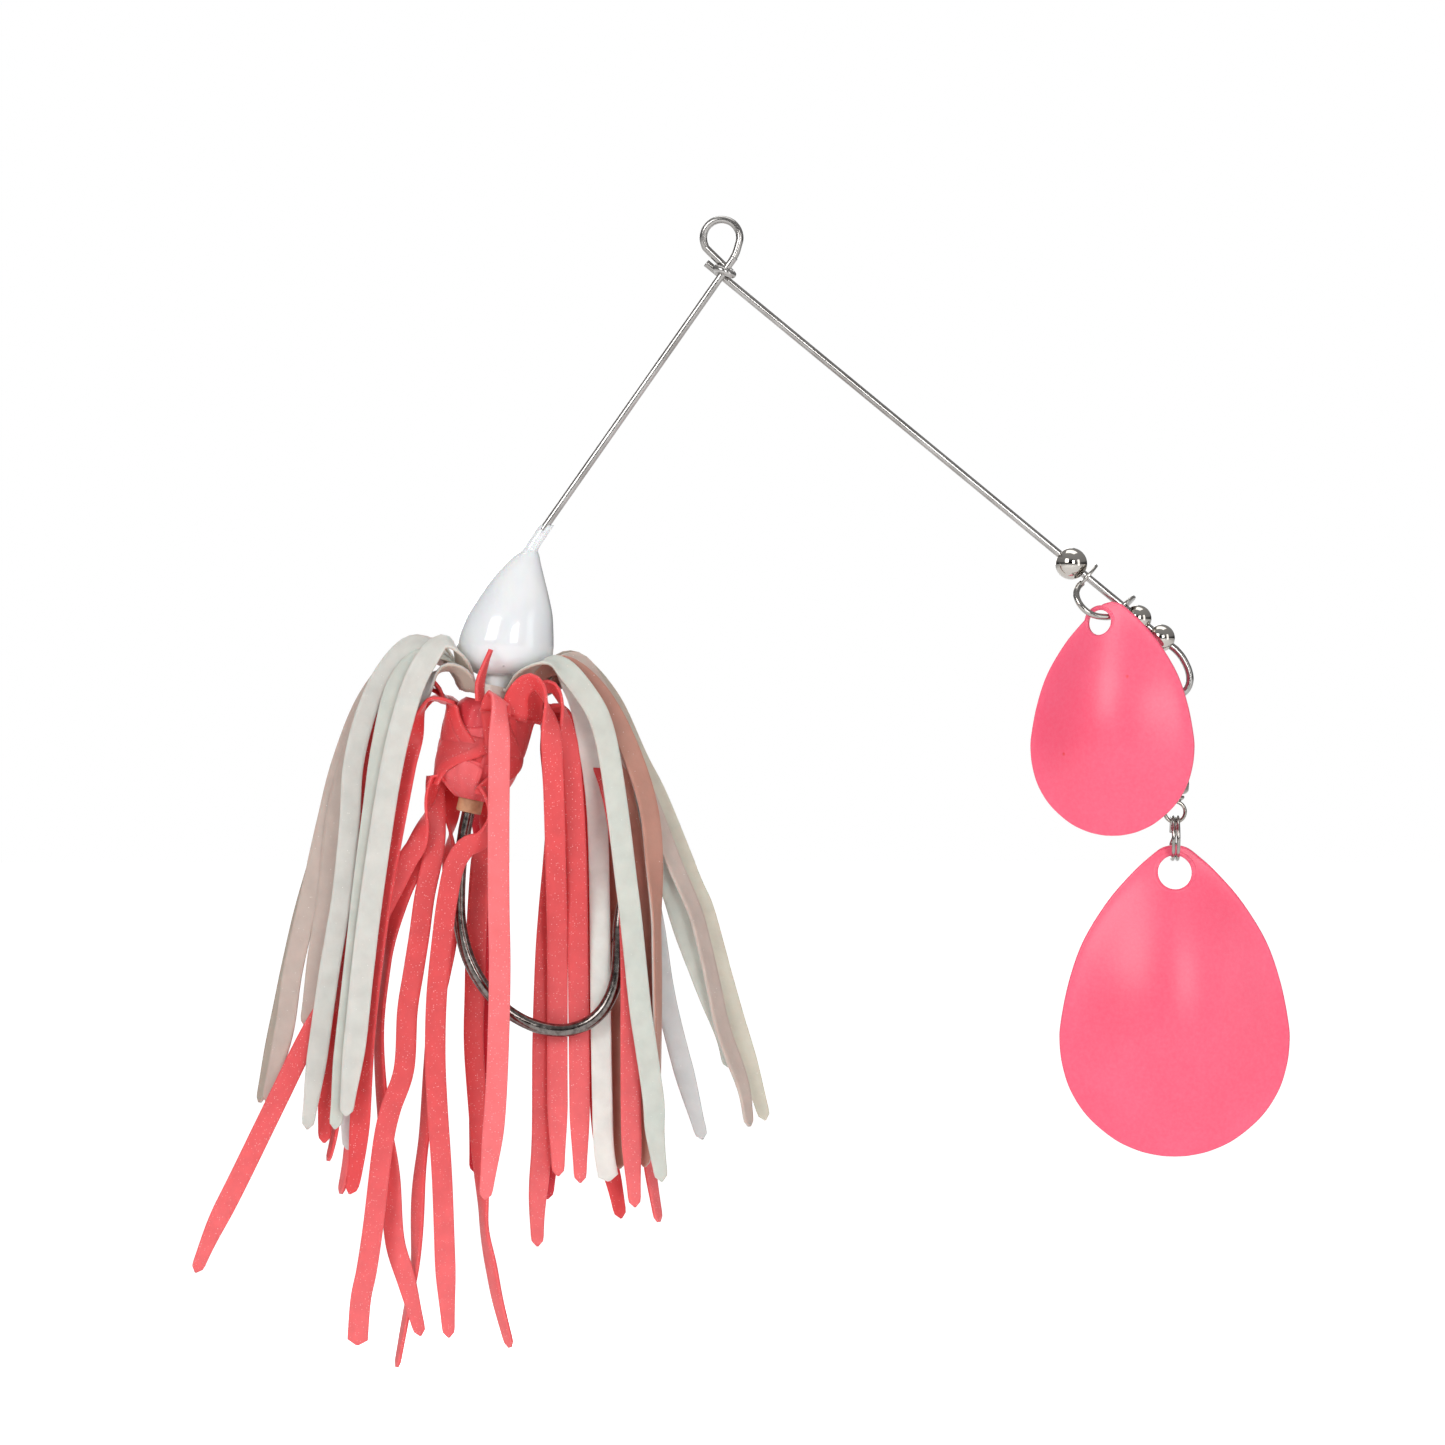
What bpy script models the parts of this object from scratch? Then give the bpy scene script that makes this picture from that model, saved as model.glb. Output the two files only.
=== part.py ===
"""Spinnerbait with a double-bladed wire arm and a silicone skirt.

Origin: centre of the line-tie eye, from which the lure hangs. +Z is up, +X runs
from the skirt towards the blades, and the bent wire lies close to the XZ plane.
Sizes are written in millimetres and scaled to metres by MM.
"""
import math

import bmesh
import bpy
from mathutils import Matrix, Vector

MM = 0.001

# ---------------------------------------------------------------- wire and hook
WIRE_R = 0.45
FIT = 0.1                      # radial play between a wire and what it runs in
EYE_R = 2.15                   # centreline radius of the line-tie eye
WRAP_R = 1.0                   # centreline radius of the wrap round the leg
WRAP_PITCH = 1.05
LEG_TOP = Vector((0.62, -1.0, -3.58))
LEG_FOOT = Vector((-21.1, -0.35, -34.5))
EYE_ENTRY = Vector((1.66, -0.97, -1.9))
EYE_START = math.radians(-20)
EYE_SWEEP = math.radians(238)
EYE_DEPTHS = (-0.95, -0.05)    # Y where the eye's turn begins and ends
ARM_START = Vector((0.014, 0.0, -4.436))
ARM_DIR = Vector((0.7718, 0.0, -0.6359)).normalized()
ARM_STRAIGHT = 69.0            # length of the arm before its end loop
# inside the head, from the cut end through the hook eye and out at the nose
ANCHOR_ROUTE = [(-26.4, 1.75, -41.9), (-26.45, 1.8, -42.8), (-26.41, 1.25, -43.8), (-26.41, 0, -44.0),
                (-26.41, -1.25, -43.8), (-26.2, -1.8, -42.5), (-25.2, -1.6, -40.6), (-23.6, -0.8, -38.4),
                (-22.3, -0.4, -36.3)]
END_LOOP_ROUTE = [(54.4, 0, -49.55), (55.1, 0, -51.0), (55.25, 0, -52.3), (54.75, 0, -53.4),
                  (53.6, 0, -54.0), (52.3, 0, -53.65), (51.5, 0, -52.6), (51.4, 0, -51.3), (51.9, 0, -50.1)]

HOOK_R = 0.775
HOOK_EYE_R = 1.725             # centreline radius of the hook eye
HOOK_EYE_TURN = math.radians(266)
HOOK_TOP = Vector((-24.72, 0.0, -44.13))
SHANK_DIR = Vector((-0.2128, 0.0, -0.9771)).normalized()
SHANK_SIDE = Vector((0.9771, 0.0, -0.2128)).normalized()
SHANK_STRAIGHT = 24.4
BEND_ROUTE = [(-30.4, 0, -70.6), (-30.8, 0, -73.6), (-31.0, 0, -77.2), (-30.9, 0, -80.6), (-30.2, 0, -84.0),
              (-29.1, 0, -86.6), (-27.4, 0, -89.1), (-25.0, 0, -91.4), (-21.9, 0, -93.0), (-18.8, 0, -93.5),
              (-16.1, 0, -92.8), (-14.2, 0, -91.3), (-13.0, 0, -89.3), (-12.35, 0, -87.0), (-12.1, 0, -84.0),
              (-12.05, 0, -81.2), (-11.95, 0, -78.9), (-11.7, 0, -76.7)]
POINT_LENGTH = 4.6
POINT_TIP = 0.08               # share of the wire's radius left at the point
POINT_POWER = 0.8
BARB_TIP = Vector((-13.15, 0.0, -83.4))
BARB_TOP = Vector((-12.0, 0.0, -79.6))
BARB_ROOT = Vector((-12.05, 0.0, -81.6))
BARB_HALF_THICK = 0.22

# ---------------------------------------------------------------- head
# (height, centre x, half width, half depth), from the wire sleeve down to the keeper
HEAD_SECTIONS = [(-33.9, -20.65, 0.88, 0.78), (-35.4, -21.65, 0.88, 0.78), (-36.5, -22.38, 0.88, 0.8),
                 (-36.95, -22.66, 1.0, 0.92), (-37.5, -23.02, 1.5, 1.35), (-38.6, -23.5, 2.2, 2.0),
                 (-40.1, -24.0, 3.05, 2.7), (-42.4, -24.55, 4.15, 3.6), (-44.5, -25.0, 5.0, 4.35),
                 (-46.4, -25.35, 5.45, 4.8), (-47.6, -25.5, 5.62, 4.95),
                 (-48.5, -25.5, 5.6, 4.9), (-49.8, -25.4, 5.25, 4.6), (-50.8, -25.4, 4.4, 3.9),
                 (-51.4, -25.8, 3.1, 2.9), (-51.7, -26.35, 1.75, 1.7), (-54.4, -26.95, 1.75, 1.7)]

HEAD_SIDES = 32
HOOK_CHANNEL_END = 14          # how far along the shank the channel for the hook is cut

# ---------------------------------------------------------------- skirt holders, along the shank
KEEPER_R = 1.75
COLLAR = (8.9, 10.3, 3.0)      # start and end along the shank, outer radius
TUBE = (10.9, 24.2, 1.5)
# (radius, distance along the shank) of the gathered strand bases
HUB_PROFILE = [(3.7, 10.9), (4.4, 11.7), (4.7, 13.5), (4.9, 16.0), (4.8, 18.0), (4.2, 20.2), (3.0, 21.8),
               (2.1, 22.6)]
TAB_ROUTE = [(-28.3, -5.6, -54.6), (-28.3, -5.75, -52.6), (-27.7, -5.9, -50.4), (-27.0, -6.0, -48.6)]
TAB_WIDTH = 1.8
TAB_THICK = 0.5

# ---------------------------------------------------------------- strands
STRAND_R = 0.4
STRAND_POINTS = 21
STRAND_START = 0.6             # length that runs straight out from the ring
# rings on which the strands start: distance along the shank, radius
RING_UPPER = (9.1, 3.3)
RING_LOWER = (10.05, 3.3)
RING_RIM = (12.0, 5.1)
RING_FOOT = (21.2, 4.1)

# Each row: ring, turn about the shank (0 faces -Y, 90 faces +X), then the route.
WHITE_STRANDS = [
    (RING_UPPER, 225, [(-31.6, 3.2, -50.0), (-35.6, 3.5, -48.3), (-40.6, 3.8, -53.0), (-44.2, 4.0, -61.0),
                       (-47.2, 4.2, -70.0), (-49.8, 4.2, -78.5), (-51.3, 4.0, -85.0), (-52.6, 3.8, -91.7),
                       (-53.8, 3.6, -97.6), (-54.7, 3.4, -102.2)]),
    (RING_UPPER, 247, [(-32.2, 1.5, -49.6), (-36.4, 1.7, -48.2), (-41.6, 2.0, -53.8), (-44.9, 2.3, -61.6),
                       (-46.8, 2.5, -69.0), (-48.7, 2.5, -77.6), (-50.7, 2.3, -86.6), (-51.7, 2.1, -93.5),
                       (-53.8, 1.9, -102.0)]),
    (RING_LOWER, 262, [(-32.6, 0.4, -50.4), (-35.6, 0.4, -49.2), (-40.3, 0.7, -53.6), (-43.6, 0.9, -60.5),
                       (-45.6, 1.2, -68.0), (-46.7, 1.4, -77.6), (-48.1, 1.4, -86.6), (-49.2, 1.4, -93.0)]),
    (RING_UPPER, 271, [(-32.7, -0.9, -49.0), (-36.2, -1.4, -47.8), (-39.6, -1.6, -51.2), (-42.0, -1.6, -56.5),
                       (-43.4, -1.5, -62.5), (-43.8, -1.5, -69.0), (-44.7, -1.5, -77.6), (-46.2, -1.6, -86.6),
                       (-47.5, -1.6, -95.7), (-48.8, -1.6, -105.1)]),
    (RING_LOWER, 286, [(-31.9, -2.2, -50.0), (-35.0, -2.7, -49.2), (-38.2, -2.9, -52.8), (-40.0, -2.8, -60.0),
                       (-41.0, -2.7, -67.3), (-42.3, -2.6, -77.6), (-43.3, -2.6, -86.6), (-44.1, -2.6, -93.5),
                       (-45.0, -2.6, -101.5), (-45.5, -2.6, -105.0)]),
    (RING_UPPER, 303, [(-30.8, -3.9, -49.2), (-32.8, -4.5, -47.7), (-35.6, -4.6, -51.5), (-37.6, -4.4, -57.5),
                       (-39.2, -4.1, -65.0), (-41.1, -3.8, -77.6), (-42.2, -3.8, -86.6), (-42.9, -3.8, -93.4),
                       (-43.9, -3.8, -101.5), (-44.1, -3.8, -103.4)]),
    (RING_LOWER, 319, [(-30.2, -3.7, -51.6), (-32.4, -3.2, -50.8), (-35.2, -2.0, -53.4), (-37.2, -0.7, -57.8),
                       (-39.5, 0.1, -68.0), (-41.4, 0.4, -80.0), (-42.8, 0.5, -92.0), (-43.9, 0.5, -101.0),
                       (-44.1, 0.5, -107.6)]),
    (RING_LOWER, 70, [(-21.4, -1.2, -52.0), (-19.4, -1.1, -50.7), (-17.0, -0.2, -54.2), (-15.5, 0.8, -61.0),
                      (-14.7, 1.5, -68.0), (-14.4, 1.9, -78.4), (-14.3, 1.9, -90.4), (-14.1, 1.8, -101.5),
                      (-13.9, 1.8, -107.6), (-13.3, 1.8, -111.4)]),
    (RING_LOWER, 150, [(-21.6, 4.6, -53.4), (-18.4, 5.2, -51.8), (-15.8, 5.2, -56.5), (-14.0, 4.8, -64.0),
                       (-13.0, 4.2, -73.5), (-12.5, 3.6, -83.2), (-12.4, 3.4, -95.2), (-12.2, 3.2, -104.0),
                       (-12.0, 3.2, -110.0)]),
    (RING_UPPER, 38, [(-22.8, -4.4, -51.4), (-19.6, -4.6, -50.0), (-15.8, -4.0, -54.0), (-13.8, -3.5, -58.3),
                      (-12.4, -3.0, -66.3), (-11.2, -2.7, -75.9), (-10.6, -2.6, -80.7), (-9.6, -2.6, -90.4),
                      (-8.9, -2.6, -95.2), (-8.0, -2.6, -101.5), (-7.8, -2.6, -105.5), (-7.0, -2.6, -111.2)]),
    (RING_LOWER, 98, [(-21.0, 0.6, -53.2), (-18.4, 0.8, -52.0), (-15.2, 0.9, -56.0), (-12.4, 0.8, -62.0),
                      (-10.8, 0.5, -68.5), (-9.6, 0.2, -75.0), (-8.9, 0.0, -80.7), (-8.4, 0.0, -90.4),
                      (-8.3, 0.0, -97.0), (-8.7, 0.0, -102.8), (-9.1, 0.0, -109.6)]),
    (RING_UPPER, 58, [(-21.8, -2.9, -51.9), (-18.8, -2.7, -50.4), (-15.0, -2.2, -53.0), (-11.6, -1.7, -58.5),
                      (-8.8, -1.4, -66.3), (-7.9, -1.3, -74.0), (-7.6, -1.2, -85.6), (-7.5, -1.2, -101.5),
                      (-7.5, -1.2, -107.6)]),
    (RING_LOWER, 118, [(-20.8, 1.9, -53.8), (-17.6, 2.2, -52.4), (-14.4, 1.8, -57.0), (-11.8, 1.7, -64.0),
                       (-10.0, 1.7, -71.2), (-8.0, 1.8, -80.7), (-6.9, 1.9, -88.0), (-5.7, 2.0, -93.6),
                       (-3.6, 2.0, -101.5), (-2.2, 2.0, -106.5)]),
    (RING_UPPER, 112, [(-21.0, 2.0, -51.8), (-17.6, 2.4, -50.5), (-14.0, 2.7, -55.2), (-11.0, 2.6, -62.0),
                       (-8.6, 2.6, -69.0), (-6.1, 2.5, -76.5), (-4.4, 2.5, -82.0), (-2.5, 2.5, -87.0),
                       (0.0, 2.4, -93.6), (0.9, 2.4, -98.0)]),
    (RING_UPPER, 88, [(-20.6, 0.1, -51.3), (-16.8, 0.4, -50.2), (-13.6, 0.8, -54.8), (-10.8, 1.0, -61.5),
                      (-8.3, 1.0, -67.0), (-5.7, 1.0, -73.5), (-3.2, 1.0, -79.3), (-2.1, 1.0, -83.2),
                      (-1.0, 1.0, -88.0), (0.2, 1.0, -93.5), (2.5, 1.0, -100.0), (3.3, 1.0, -104.9)]),
    (RING_UPPER, 132, [(-21.4, 3.8, -51.4), (-17.4, 4.0, -49.9), (-13.2, 3.9, -54.2), (-9.8, 3.8, -61.5),
                       (-7.4, 3.7, -66.3), (-3.5, 3.6, -75.9), (-1.9, 3.5, -79.6), (0.4, 3.5, -88.0),
                       (1.95, 3.5, -93.5), (4.4, 3.5, -101.5), (5.2, 3.5, -104.3)]),
]
PINK_STRANDS = [
    (RING_FOOT, 285, [(-35.6, -0.9, -70.8), (-37.0, -0.8, -73.3), (-39.2, -0.7, -77.6), (-43.5, -0.6, -85.8),
                      (-48.3, -0.5, -93.5), (-52.3, -0.2, -101.5), (-56.9, 0.2, -110.9), (-60.0, 0.4, -117.1),
                      (-62.1, 0.5, -122.1)]),
    (RING_RIM, 268, [(-33.6, 0.0, -52.8), (-35.6, 0.0, -52.0), (-39.0, -0.1, -55.6), (-41.6, -0.2, -62.0),
                     (-42.7, 0.0, -69.0), (-43.9, 0.4, -79.9), (-45.1, 0.5, -86.6), (-46.0, 0.4, -95.7),
                     (-46.7, 0.4, -102.8), (-46.9, 0.4, -106.8)]),
    (RING_RIM, 252, [(-33.2, 1.7, -53.8), (-35.0, 1.7, -53.4), (-38.4, 1.8, -57.0), (-40.8, 1.9, -63.0),
                     (-42.2, 1.9, -70.0), (-43.3, 1.9, -79.0), (-44.2, 1.8, -86.0), (-44.9, 1.7, -95.0),
                     (-45.6, 1.6, -104.5), (-46.5, 1.6, -109.0)]),
    (RING_RIM, 234, [(-32.4, 3.3, -54.4), (-34.6, 3.4, -54.6), (-37.4, 3.3, -59.0), (-39.4, 3.1, -67.0),
                     (-40.8, 2.9, -77.0), (-41.9, 2.4, -87.0), (-42.9, 2.0, -97.0), (-44.1, 1.8, -107.6),
                     (-45.0, 1.7, -112.9)]),
    (RING_RIM, 290, [(-33.4, -2.2, -54.4), (-34.8, -2.4, -54.8), (-36.2, -2.4, -58.6), (-37.8, -2.3, -66.0),
                     (-39.6, -2.2, -76.0), (-41.0, -2.1, -86.0), (-42.0, -1.9, -95.0), (-42.6, -1.7, -104.5),
                     (-43.2, -1.7, -110.5), (-43.8, -1.7, -112.7)]),
    (RING_FOOT, 243, [(-34.4, 1.2, -70.6), (-36.2, 1.0, -74.2), (-37.5, 0.9, -76.9), (-38.8, 0.9, -80.9),
                      (-39.5, 0.9, -85.6), (-40.4, 0.9, -93.5), (-40.1, 0.9, -101.5), (-39.1, 0.8, -110.9),
                      (-38.6, 0.7, -118.2), (-37.2, 0.7, -123.1), (-35.5, 0.7, -129.6)]),
    (RING_FOOT, 264, [(-33.8, -0.1, -71.2), (-35.0, -0.5, -77.6), (-35.6, -0.9, -82.1), (-36.3, -1.2, -86.6),
                      (-37.0, -1.4, -91.2), (-37.4, -1.5, -98.0), (-39.0, -1.6, -102.8), (-39.9, -1.6, -107.1),
                      (-41.0, -1.6, -116.3), (-41.8, -1.6, -121.7), (-42.5, -1.6, -125.2),
                      (-42.9, -1.6, -130.5)]),
    (RING_FOOT, 215, [(-32.0, 2.6, -69.6), (-32.2, 2.4, -76.0), (-32.0, 2.3, -82.0), (-32.9, 2.2, -87.0),
                      (-33.8, 2.2, -91.0), (-34.5, 2.1, -98.0), (-35.1, 2.0, -105.5), (-35.8, 2.0, -112.0),
                      (-36.2, 2.0, -121.0), (-37.1, 2.0, -126.2), (-38.4, 2.0, -133.4)]),
    (RING_FOOT, 20, [(-27.0, -3.6, -68.2), (-28.0, -3.2, -70.8), (-30.0, -2.9, -71.8), (-31.4, -2.6, -74.0),
                     (-32.2, -2.4, -77.6), (-32.8, -2.3, -82.1), (-33.5, -2.1, -89.0), (-33.7, -2.0, -95.7),
                     (-33.5, -1.9, -101.5), (-32.9, -1.8, -110.9), (-32.5, -1.8, -121.7),
                     (-32.1, -1.8, -129.6)]),
    (RING_FOOT, 180, [(-28.8, 4.4, -68.6), (-27.9, 4.0, -73.0), (-27.9, 3.9, -82.0), (-28.3, 3.9, -92.0),
                      (-28.7, 3.8, -102.0), (-29.2, 3.7, -110.5)]),
    (RING_FOOT, 140, [(-27.6, 2.9, -68.2), (-28.4, 2.3, -73.0), (-29.0, 2.2, -82.1), (-29.2, 2.2, -88.9),
                      (-29.3, 2.2, -95.7), (-28.6, 2.2, -105.5), (-28.2, 2.2, -113.6), (-28.0, 2.2, -117.4),
                      (-27.2, 2.2, -121.7), (-26.4, 2.2, -125.8), (-25.0, 2.2, -131.1)]),
    (RING_RIM, 8, [(-26.4, -6.0, -54.8), (-26.1, -7.0, -54.4), (-26.0, -7.6, -56.6), (-26.0, -7.3, -62.0),
                   (-26.1, -6.6, -69.0), (-26.1, -5.8, -78.4), (-26.0, -5.2, -86.0), (-26.2, -4.7, -95.0),
                   (-26.6, -4.3, -103.0), (-27.3, -4.0, -109.4), (-27.8, -3.9, -113.2)]),
    (RING_RIM, 104, [(-21.6, 1.4, -54.8), (-20.2, 1.9, -56.2), (-19.5, 2.8, -62.0), (-19.7, 3.0, -70.0),
                     (-20.5, 3.0, -79.5), (-20.9, 3.0, -85.6), (-21.2, 3.0, -95.2), (-21.3, 3.0, -106.6),
                     (-21.8, 3.0, -114.1), (-21.8, 3.0, -119.2)]),
    (RING_RIM, 150, [(-23.4, 5.4, -55.8), (-21.4, 6.0, -57.0), (-20.2, 5.8, -62.0), (-19.6, 5.2, -75.0),
                     (-19.5, 4.8, -90.0), (-19.9, 4.6, -102.0), (-20.7, 4.5, -113.7)]),
    (RING_RIM, 31, [(-24.0, -5.5, -54.2), (-23.2, -6.0, -52.9), (-22.0, -6.7, -52.4), (-20.9, -7.1, -53.7),
                    (-20.1, -7.0, -57.2), (-19.8, -6.0, -62.2), (-19.6, -4.2, -68.4), (-19.5, -1.8, -75.0),
                    (-19.4, 0.6, -81.5), (-19.4, 1.8, -90.4), (-19.4, 1.7, -100.0), (-19.3, 1.6, -110.8)]),
    (RING_RIM, 56, [(-21.9, -3.9, -54.2), (-20.8, -4.4, -53.0), (-19.5, -4.9, -53.3), (-18.5, -5.0, -56.0),
                    (-17.9, -4.5, -60.6), (-17.4, -3.1, -66.6), (-17.1, -1.3, -73.2), (-17.0, 0.7, -80.4),
                    (-16.9, 1.7, -90.4), (-16.8, 1.7, -100.0), (-16.7, 1.7, -111.6)]),
    (RING_RIM, 134, [(-21.6, 4.0, -55.2), (-19.4, 4.4, -56.0), (-16.9, 4.5, -62.0), (-15.5, 5.0, -74.0),
                     (-14.9, 5.0, -86.0), (-14.7, 4.8, -96.0), (-14.1, 4.7, -106.0), (-12.7, 4.6, -112.0),
                     (-11.9, 4.6, -116.0)]),
    (RING_RIM, 90, [(-20.9, 0.0, -55.8), (-19.0, 0.8, -55.6), (-16.6, 1.9, -58.0), (-14.3, 1.3, -61.8),
                    (-13.0, 0.3, -65.5), (-12.0, -0.8, -70.5), (-11.1, -1.4, -76.5), (-10.7, -1.3, -85.2),
                    (-10.7, -1.1, -94.6), (-10.6, -1.0, -106.4), (-10.2, -1.0, -114.3)]),
    (RING_RIM, 119, [(-21.6, 2.9, -56.8), (-18.8, 3.2, -57.6), (-16.0, 3.2, -60.6), (-14.0, 2.9, -65.5),
                     (-12.2, 2.5, -72.0), (-10.6, 2.0, -80.0), (-9.6, 1.7, -90.0), (-8.9, 1.5, -100.0),
                     (-8.6, 1.4, -108.4), (-7.4, 1.4, -116.2)]),
]

# ---------------------------------------------------------------- beads and clevis, along the arm
BEAD_FIT = 0.07
BEADS = {"bead_top": (53.45, 1.88), "bead_middle": (63.64, 1.6), "bead_lower": (67.22, 1.6)}
EAR_1 = 55.87                  # distance of each ear from the arm's start
EAR_2 = 61.42
EAR_R = 1.85
EAR_THICK = 0.4
EAR_PLAY = 0.15                # radial play of an ear on the arm
EAR_SPLAY = math.radians(8)
BOW_R = 0.38
CLEVIS_TURN = math.radians(40)  # the bow swings towards -Y
# (distance along the arm, distance out from it) of the bow's centreline
BOW_ROUTE = [(55.87, 1.35), (55.8, 2.2), (56.1, 3.2), (57.0, 4.0), (58.2, 4.3), (59.4, 4.0), (60.47, 3.15),
             (61.17, 2.2), (61.42, 1.35)]

# ---------------------------------------------------------------- blades
BLADE_HOLE_DOWN = 3.3          # from the blade's top to its hole, for a blade of full length
BLADE_CUP_DOWN = 20.5          # from the top to the deepest point of the cup
# (distance from the top, half width) of the outline of a blade of full length
BLADE_OUTLINE = [(0.0, 0.0), (0.4, 1.5), (1.4, 2.85), (3.2, 4.85), (6.7, 7.9), (11.4, 10.8), (16.2, 12.5),
                 (20.9, 13.45), (23.4, 13.6), (26.2, 13.25), (29.2, 12.25), (32.2, 10.25), (34.8, 7.2),
                 (36.2, 4.3), (36.8, 1.7), (36.9, 0.0)]
BLADE_RINGS = 5
BLADE_EDGE = 27                # points along half of the outline
DRILL_REACH = 4                # how far the hole's cutter reaches either side of the sheet
# hole: where the middle of the sheet lies at the hole's centre; across: how far the hole is off the midline
LARGE = {"scale": 1.0, "hole": Vector((53.5, 0.0, -74.83)), "hole_r": 1.9, "across": 0.0, "turn": 0.0,
         "cup": 4.4, "thick": 0.6}
SMALL = {"scale": 0.748, "hole": Vector((44.52, -1.8, -45.38)), "hole_r": 1.55, "across": -1.4,
         "turn": math.radians(22), "cup": 3.2, "thick": 0.5}
CUP_POWER = 1.6                # how flat the cup runs out towards the rim
SMALL_PIVOT = Vector((45.13, -2.02, -44.72))

# ---------------------------------------------------------------- swivel and ring
SWIVEL_X = 53.5
LOOP_BOTTOM_Z = -54.0           # centreline of the end loop where the swivel hangs
UPPER_EYE_Z = -54.4
LOWER_EYE_Z = -67.7
SWIVEL_EYE_R = 1.2             # centreline radius
SWIVEL_EYE_WIRE = 0.25
PIN_R = 0.5
PIN_HEAD_R = 0.95
PIN_HEAD_GAP = 0.12
PIN_HEAD_LENGTH = 0.58
NECK_R = 0.6                   # where a swivel eye's shoulder starts, at its ring
SHOULDER_R = 1.1
SHOULDER_LENGTH = 0.85
SHOULDER_GAP = 0.15            # between a shoulder and the barrel
BARREL_R = 1.65
BARREL_TOP = -59.4
BARREL_BOTTOM = -65.6
BARREL_WALL = 0.55
BARREL_CHAMFER = (0.35, 0.5)   # across and along
BARREL_GAP = 0.08              # between the pin and the barrel
RING_CENTRE = Vector((53.5, 0.0, -70.8))
RING_R = 2.5
RING_WIRE = 0.22
RING_COIL = 0.28               # each coil's offset from the ring's middle plane
RING_RAMP = math.radians(30)

TURN = 2 * math.pi


# ---------------------------------------------------------------- helpers
def clear_scene():
    for item in list(bpy.data.objects):
        bpy.data.objects.remove(item, do_unlink=True)


def make_material(name, colour, roughness, metallic=0.0):
    material = bpy.data.materials.new(name)
    material.use_nodes = True
    shader = material.node_tree.nodes["Principled BSDF"]
    shader.inputs["Base Color"].default_value = (*colour, 1.0)
    shader.inputs["Roughness"].default_value = roughness
    shader.inputs["Metallic"].default_value = metallic
    return material


def link_object(name, data, material, origin):
    data.materials.append(material)
    item = bpy.data.objects.new(name, data)
    item.location = origin * MM
    bpy.context.scene.collection.objects.link(item)
    return item


def add_mesh(name, mesh, material, origin=Vector((0, 0, 0))):
    """Link a mesh, drawn in world millimetres, with the object's own origin at `origin`."""
    mesh.transform(Matrix.Scale(MM, 4) @ Matrix.Translation(-origin))
    return link_object(name, mesh, material, origin)


def add_tube(name, points, radius, resolution, material, origin=Vector((0, 0, 0))):
    """Link a round tube along points in world millimetres."""
    local = [(point - origin) * MM for point in points]
    return link_object(name, tube_curve(local, radius * MM, resolution), material, origin)


def frame_matrix(origin, x_axis, y_axis, z_axis):
    matrix = Matrix((x_axis, y_axis, z_axis)).transposed().to_4x4()
    matrix.translation = origin
    return matrix


def mesh_from(bm, smooth=True):
    bmesh.ops.recalc_face_normals(bm, faces=bm.faces)
    for face in bm.faces:
        face.smooth = smooth
    mesh = bpy.data.meshes.new("shape")
    bm.to_mesh(mesh)
    bm.free()
    return mesh


def smooth_points(route, count):
    """Catmull-Rom curve through the route's points, cut into evenly spaced points."""
    knots = [Vector(p) for p in route]
    knots = [2 * knots[0] - knots[1]] + knots + [2 * knots[-1] - knots[-2]]
    dense = []
    for a, b, c, d in zip(knots, knots[1:], knots[2:], knots[3:]):
        for step in range(24):
            t = step / 24
            dense.append(0.5 * (2 * b + (c - a) * t + (2 * a - 5 * b + 4 * c - d) * t ** 2
                                + (3 * b - a - 3 * c + d) * t ** 3))
    dense.append(knots[-2])
    lengths = [0.0]
    for a, b in zip(dense, dense[1:]):
        lengths.append(lengths[-1] + (b - a).length)
    points = []
    index = 0
    for k in range(count):
        target = lengths[-1] * k / (count - 1)
        while index < len(dense) - 2 and lengths[index + 1] < target:
            index += 1
        share = (target - lengths[index]) / (lengths[index + 1] - lengths[index])
        points.append(dense[index].lerp(dense[index + 1], share))
    return points


def tube_curve(points, radius, resolution, tapers=None):
    """A POLY curve with a round bevel and filled caps; tapers scales its radius at each point."""
    curve = bpy.data.curves.new("tube", "CURVE")
    curve.dimensions = "3D"
    curve.bevel_depth = radius
    curve.bevel_resolution = resolution
    curve.use_fill_caps = True
    spline = curve.splines.new("POLY")
    spline.points.add(len(points) - 1)
    for k, point in enumerate(points):
        spline.points[k].co = (*point, 1.0)
        if tapers:
            spline.points[k].radius = tapers[k]
    return curve


def tube_mesh(points, radius, resolution, tapers=None):
    """The same tube as a mesh, for what is cut or joined afterwards."""
    curve = tube_curve(points, radius, resolution, tapers)
    carrier = bpy.data.objects.new("carrier", curve)
    bpy.context.scene.collection.objects.link(carrier)
    bpy.context.view_layer.update()
    shape = bpy.data.meshes.new_from_object(carrier.evaluated_get(bpy.context.evaluated_depsgraph_get()))
    bpy.data.objects.remove(carrier, do_unlink=True)
    bm = bmesh.new()
    bm.from_mesh(shape)
    bmesh.ops.remove_doubles(bm, verts=bm.verts, dist=0.0001)
    return mesh_from(bm)


def lathe_mesh(profile, matrix, segments=32):
    """Spin a closed outline of (radius, height) points about the matrix's Z axis."""
    bm = bmesh.new()
    corners = [bm.verts.new((r, 0, h)) for r, h in profile]
    edges = [bm.edges.new((corners[k - 1], corners[k])) for k in range(len(corners))]
    bmesh.ops.spin(bm, geom=corners + edges, cent=(0, 0, 0), axis=(0, 0, 1), angle=TURN, steps=segments)
    bmesh.ops.remove_doubles(bm, verts=bm.verts, dist=0.00001)
    bmesh.ops.transform(bm, matrix=matrix, verts=bm.verts)
    return mesh_from(bm)


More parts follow.
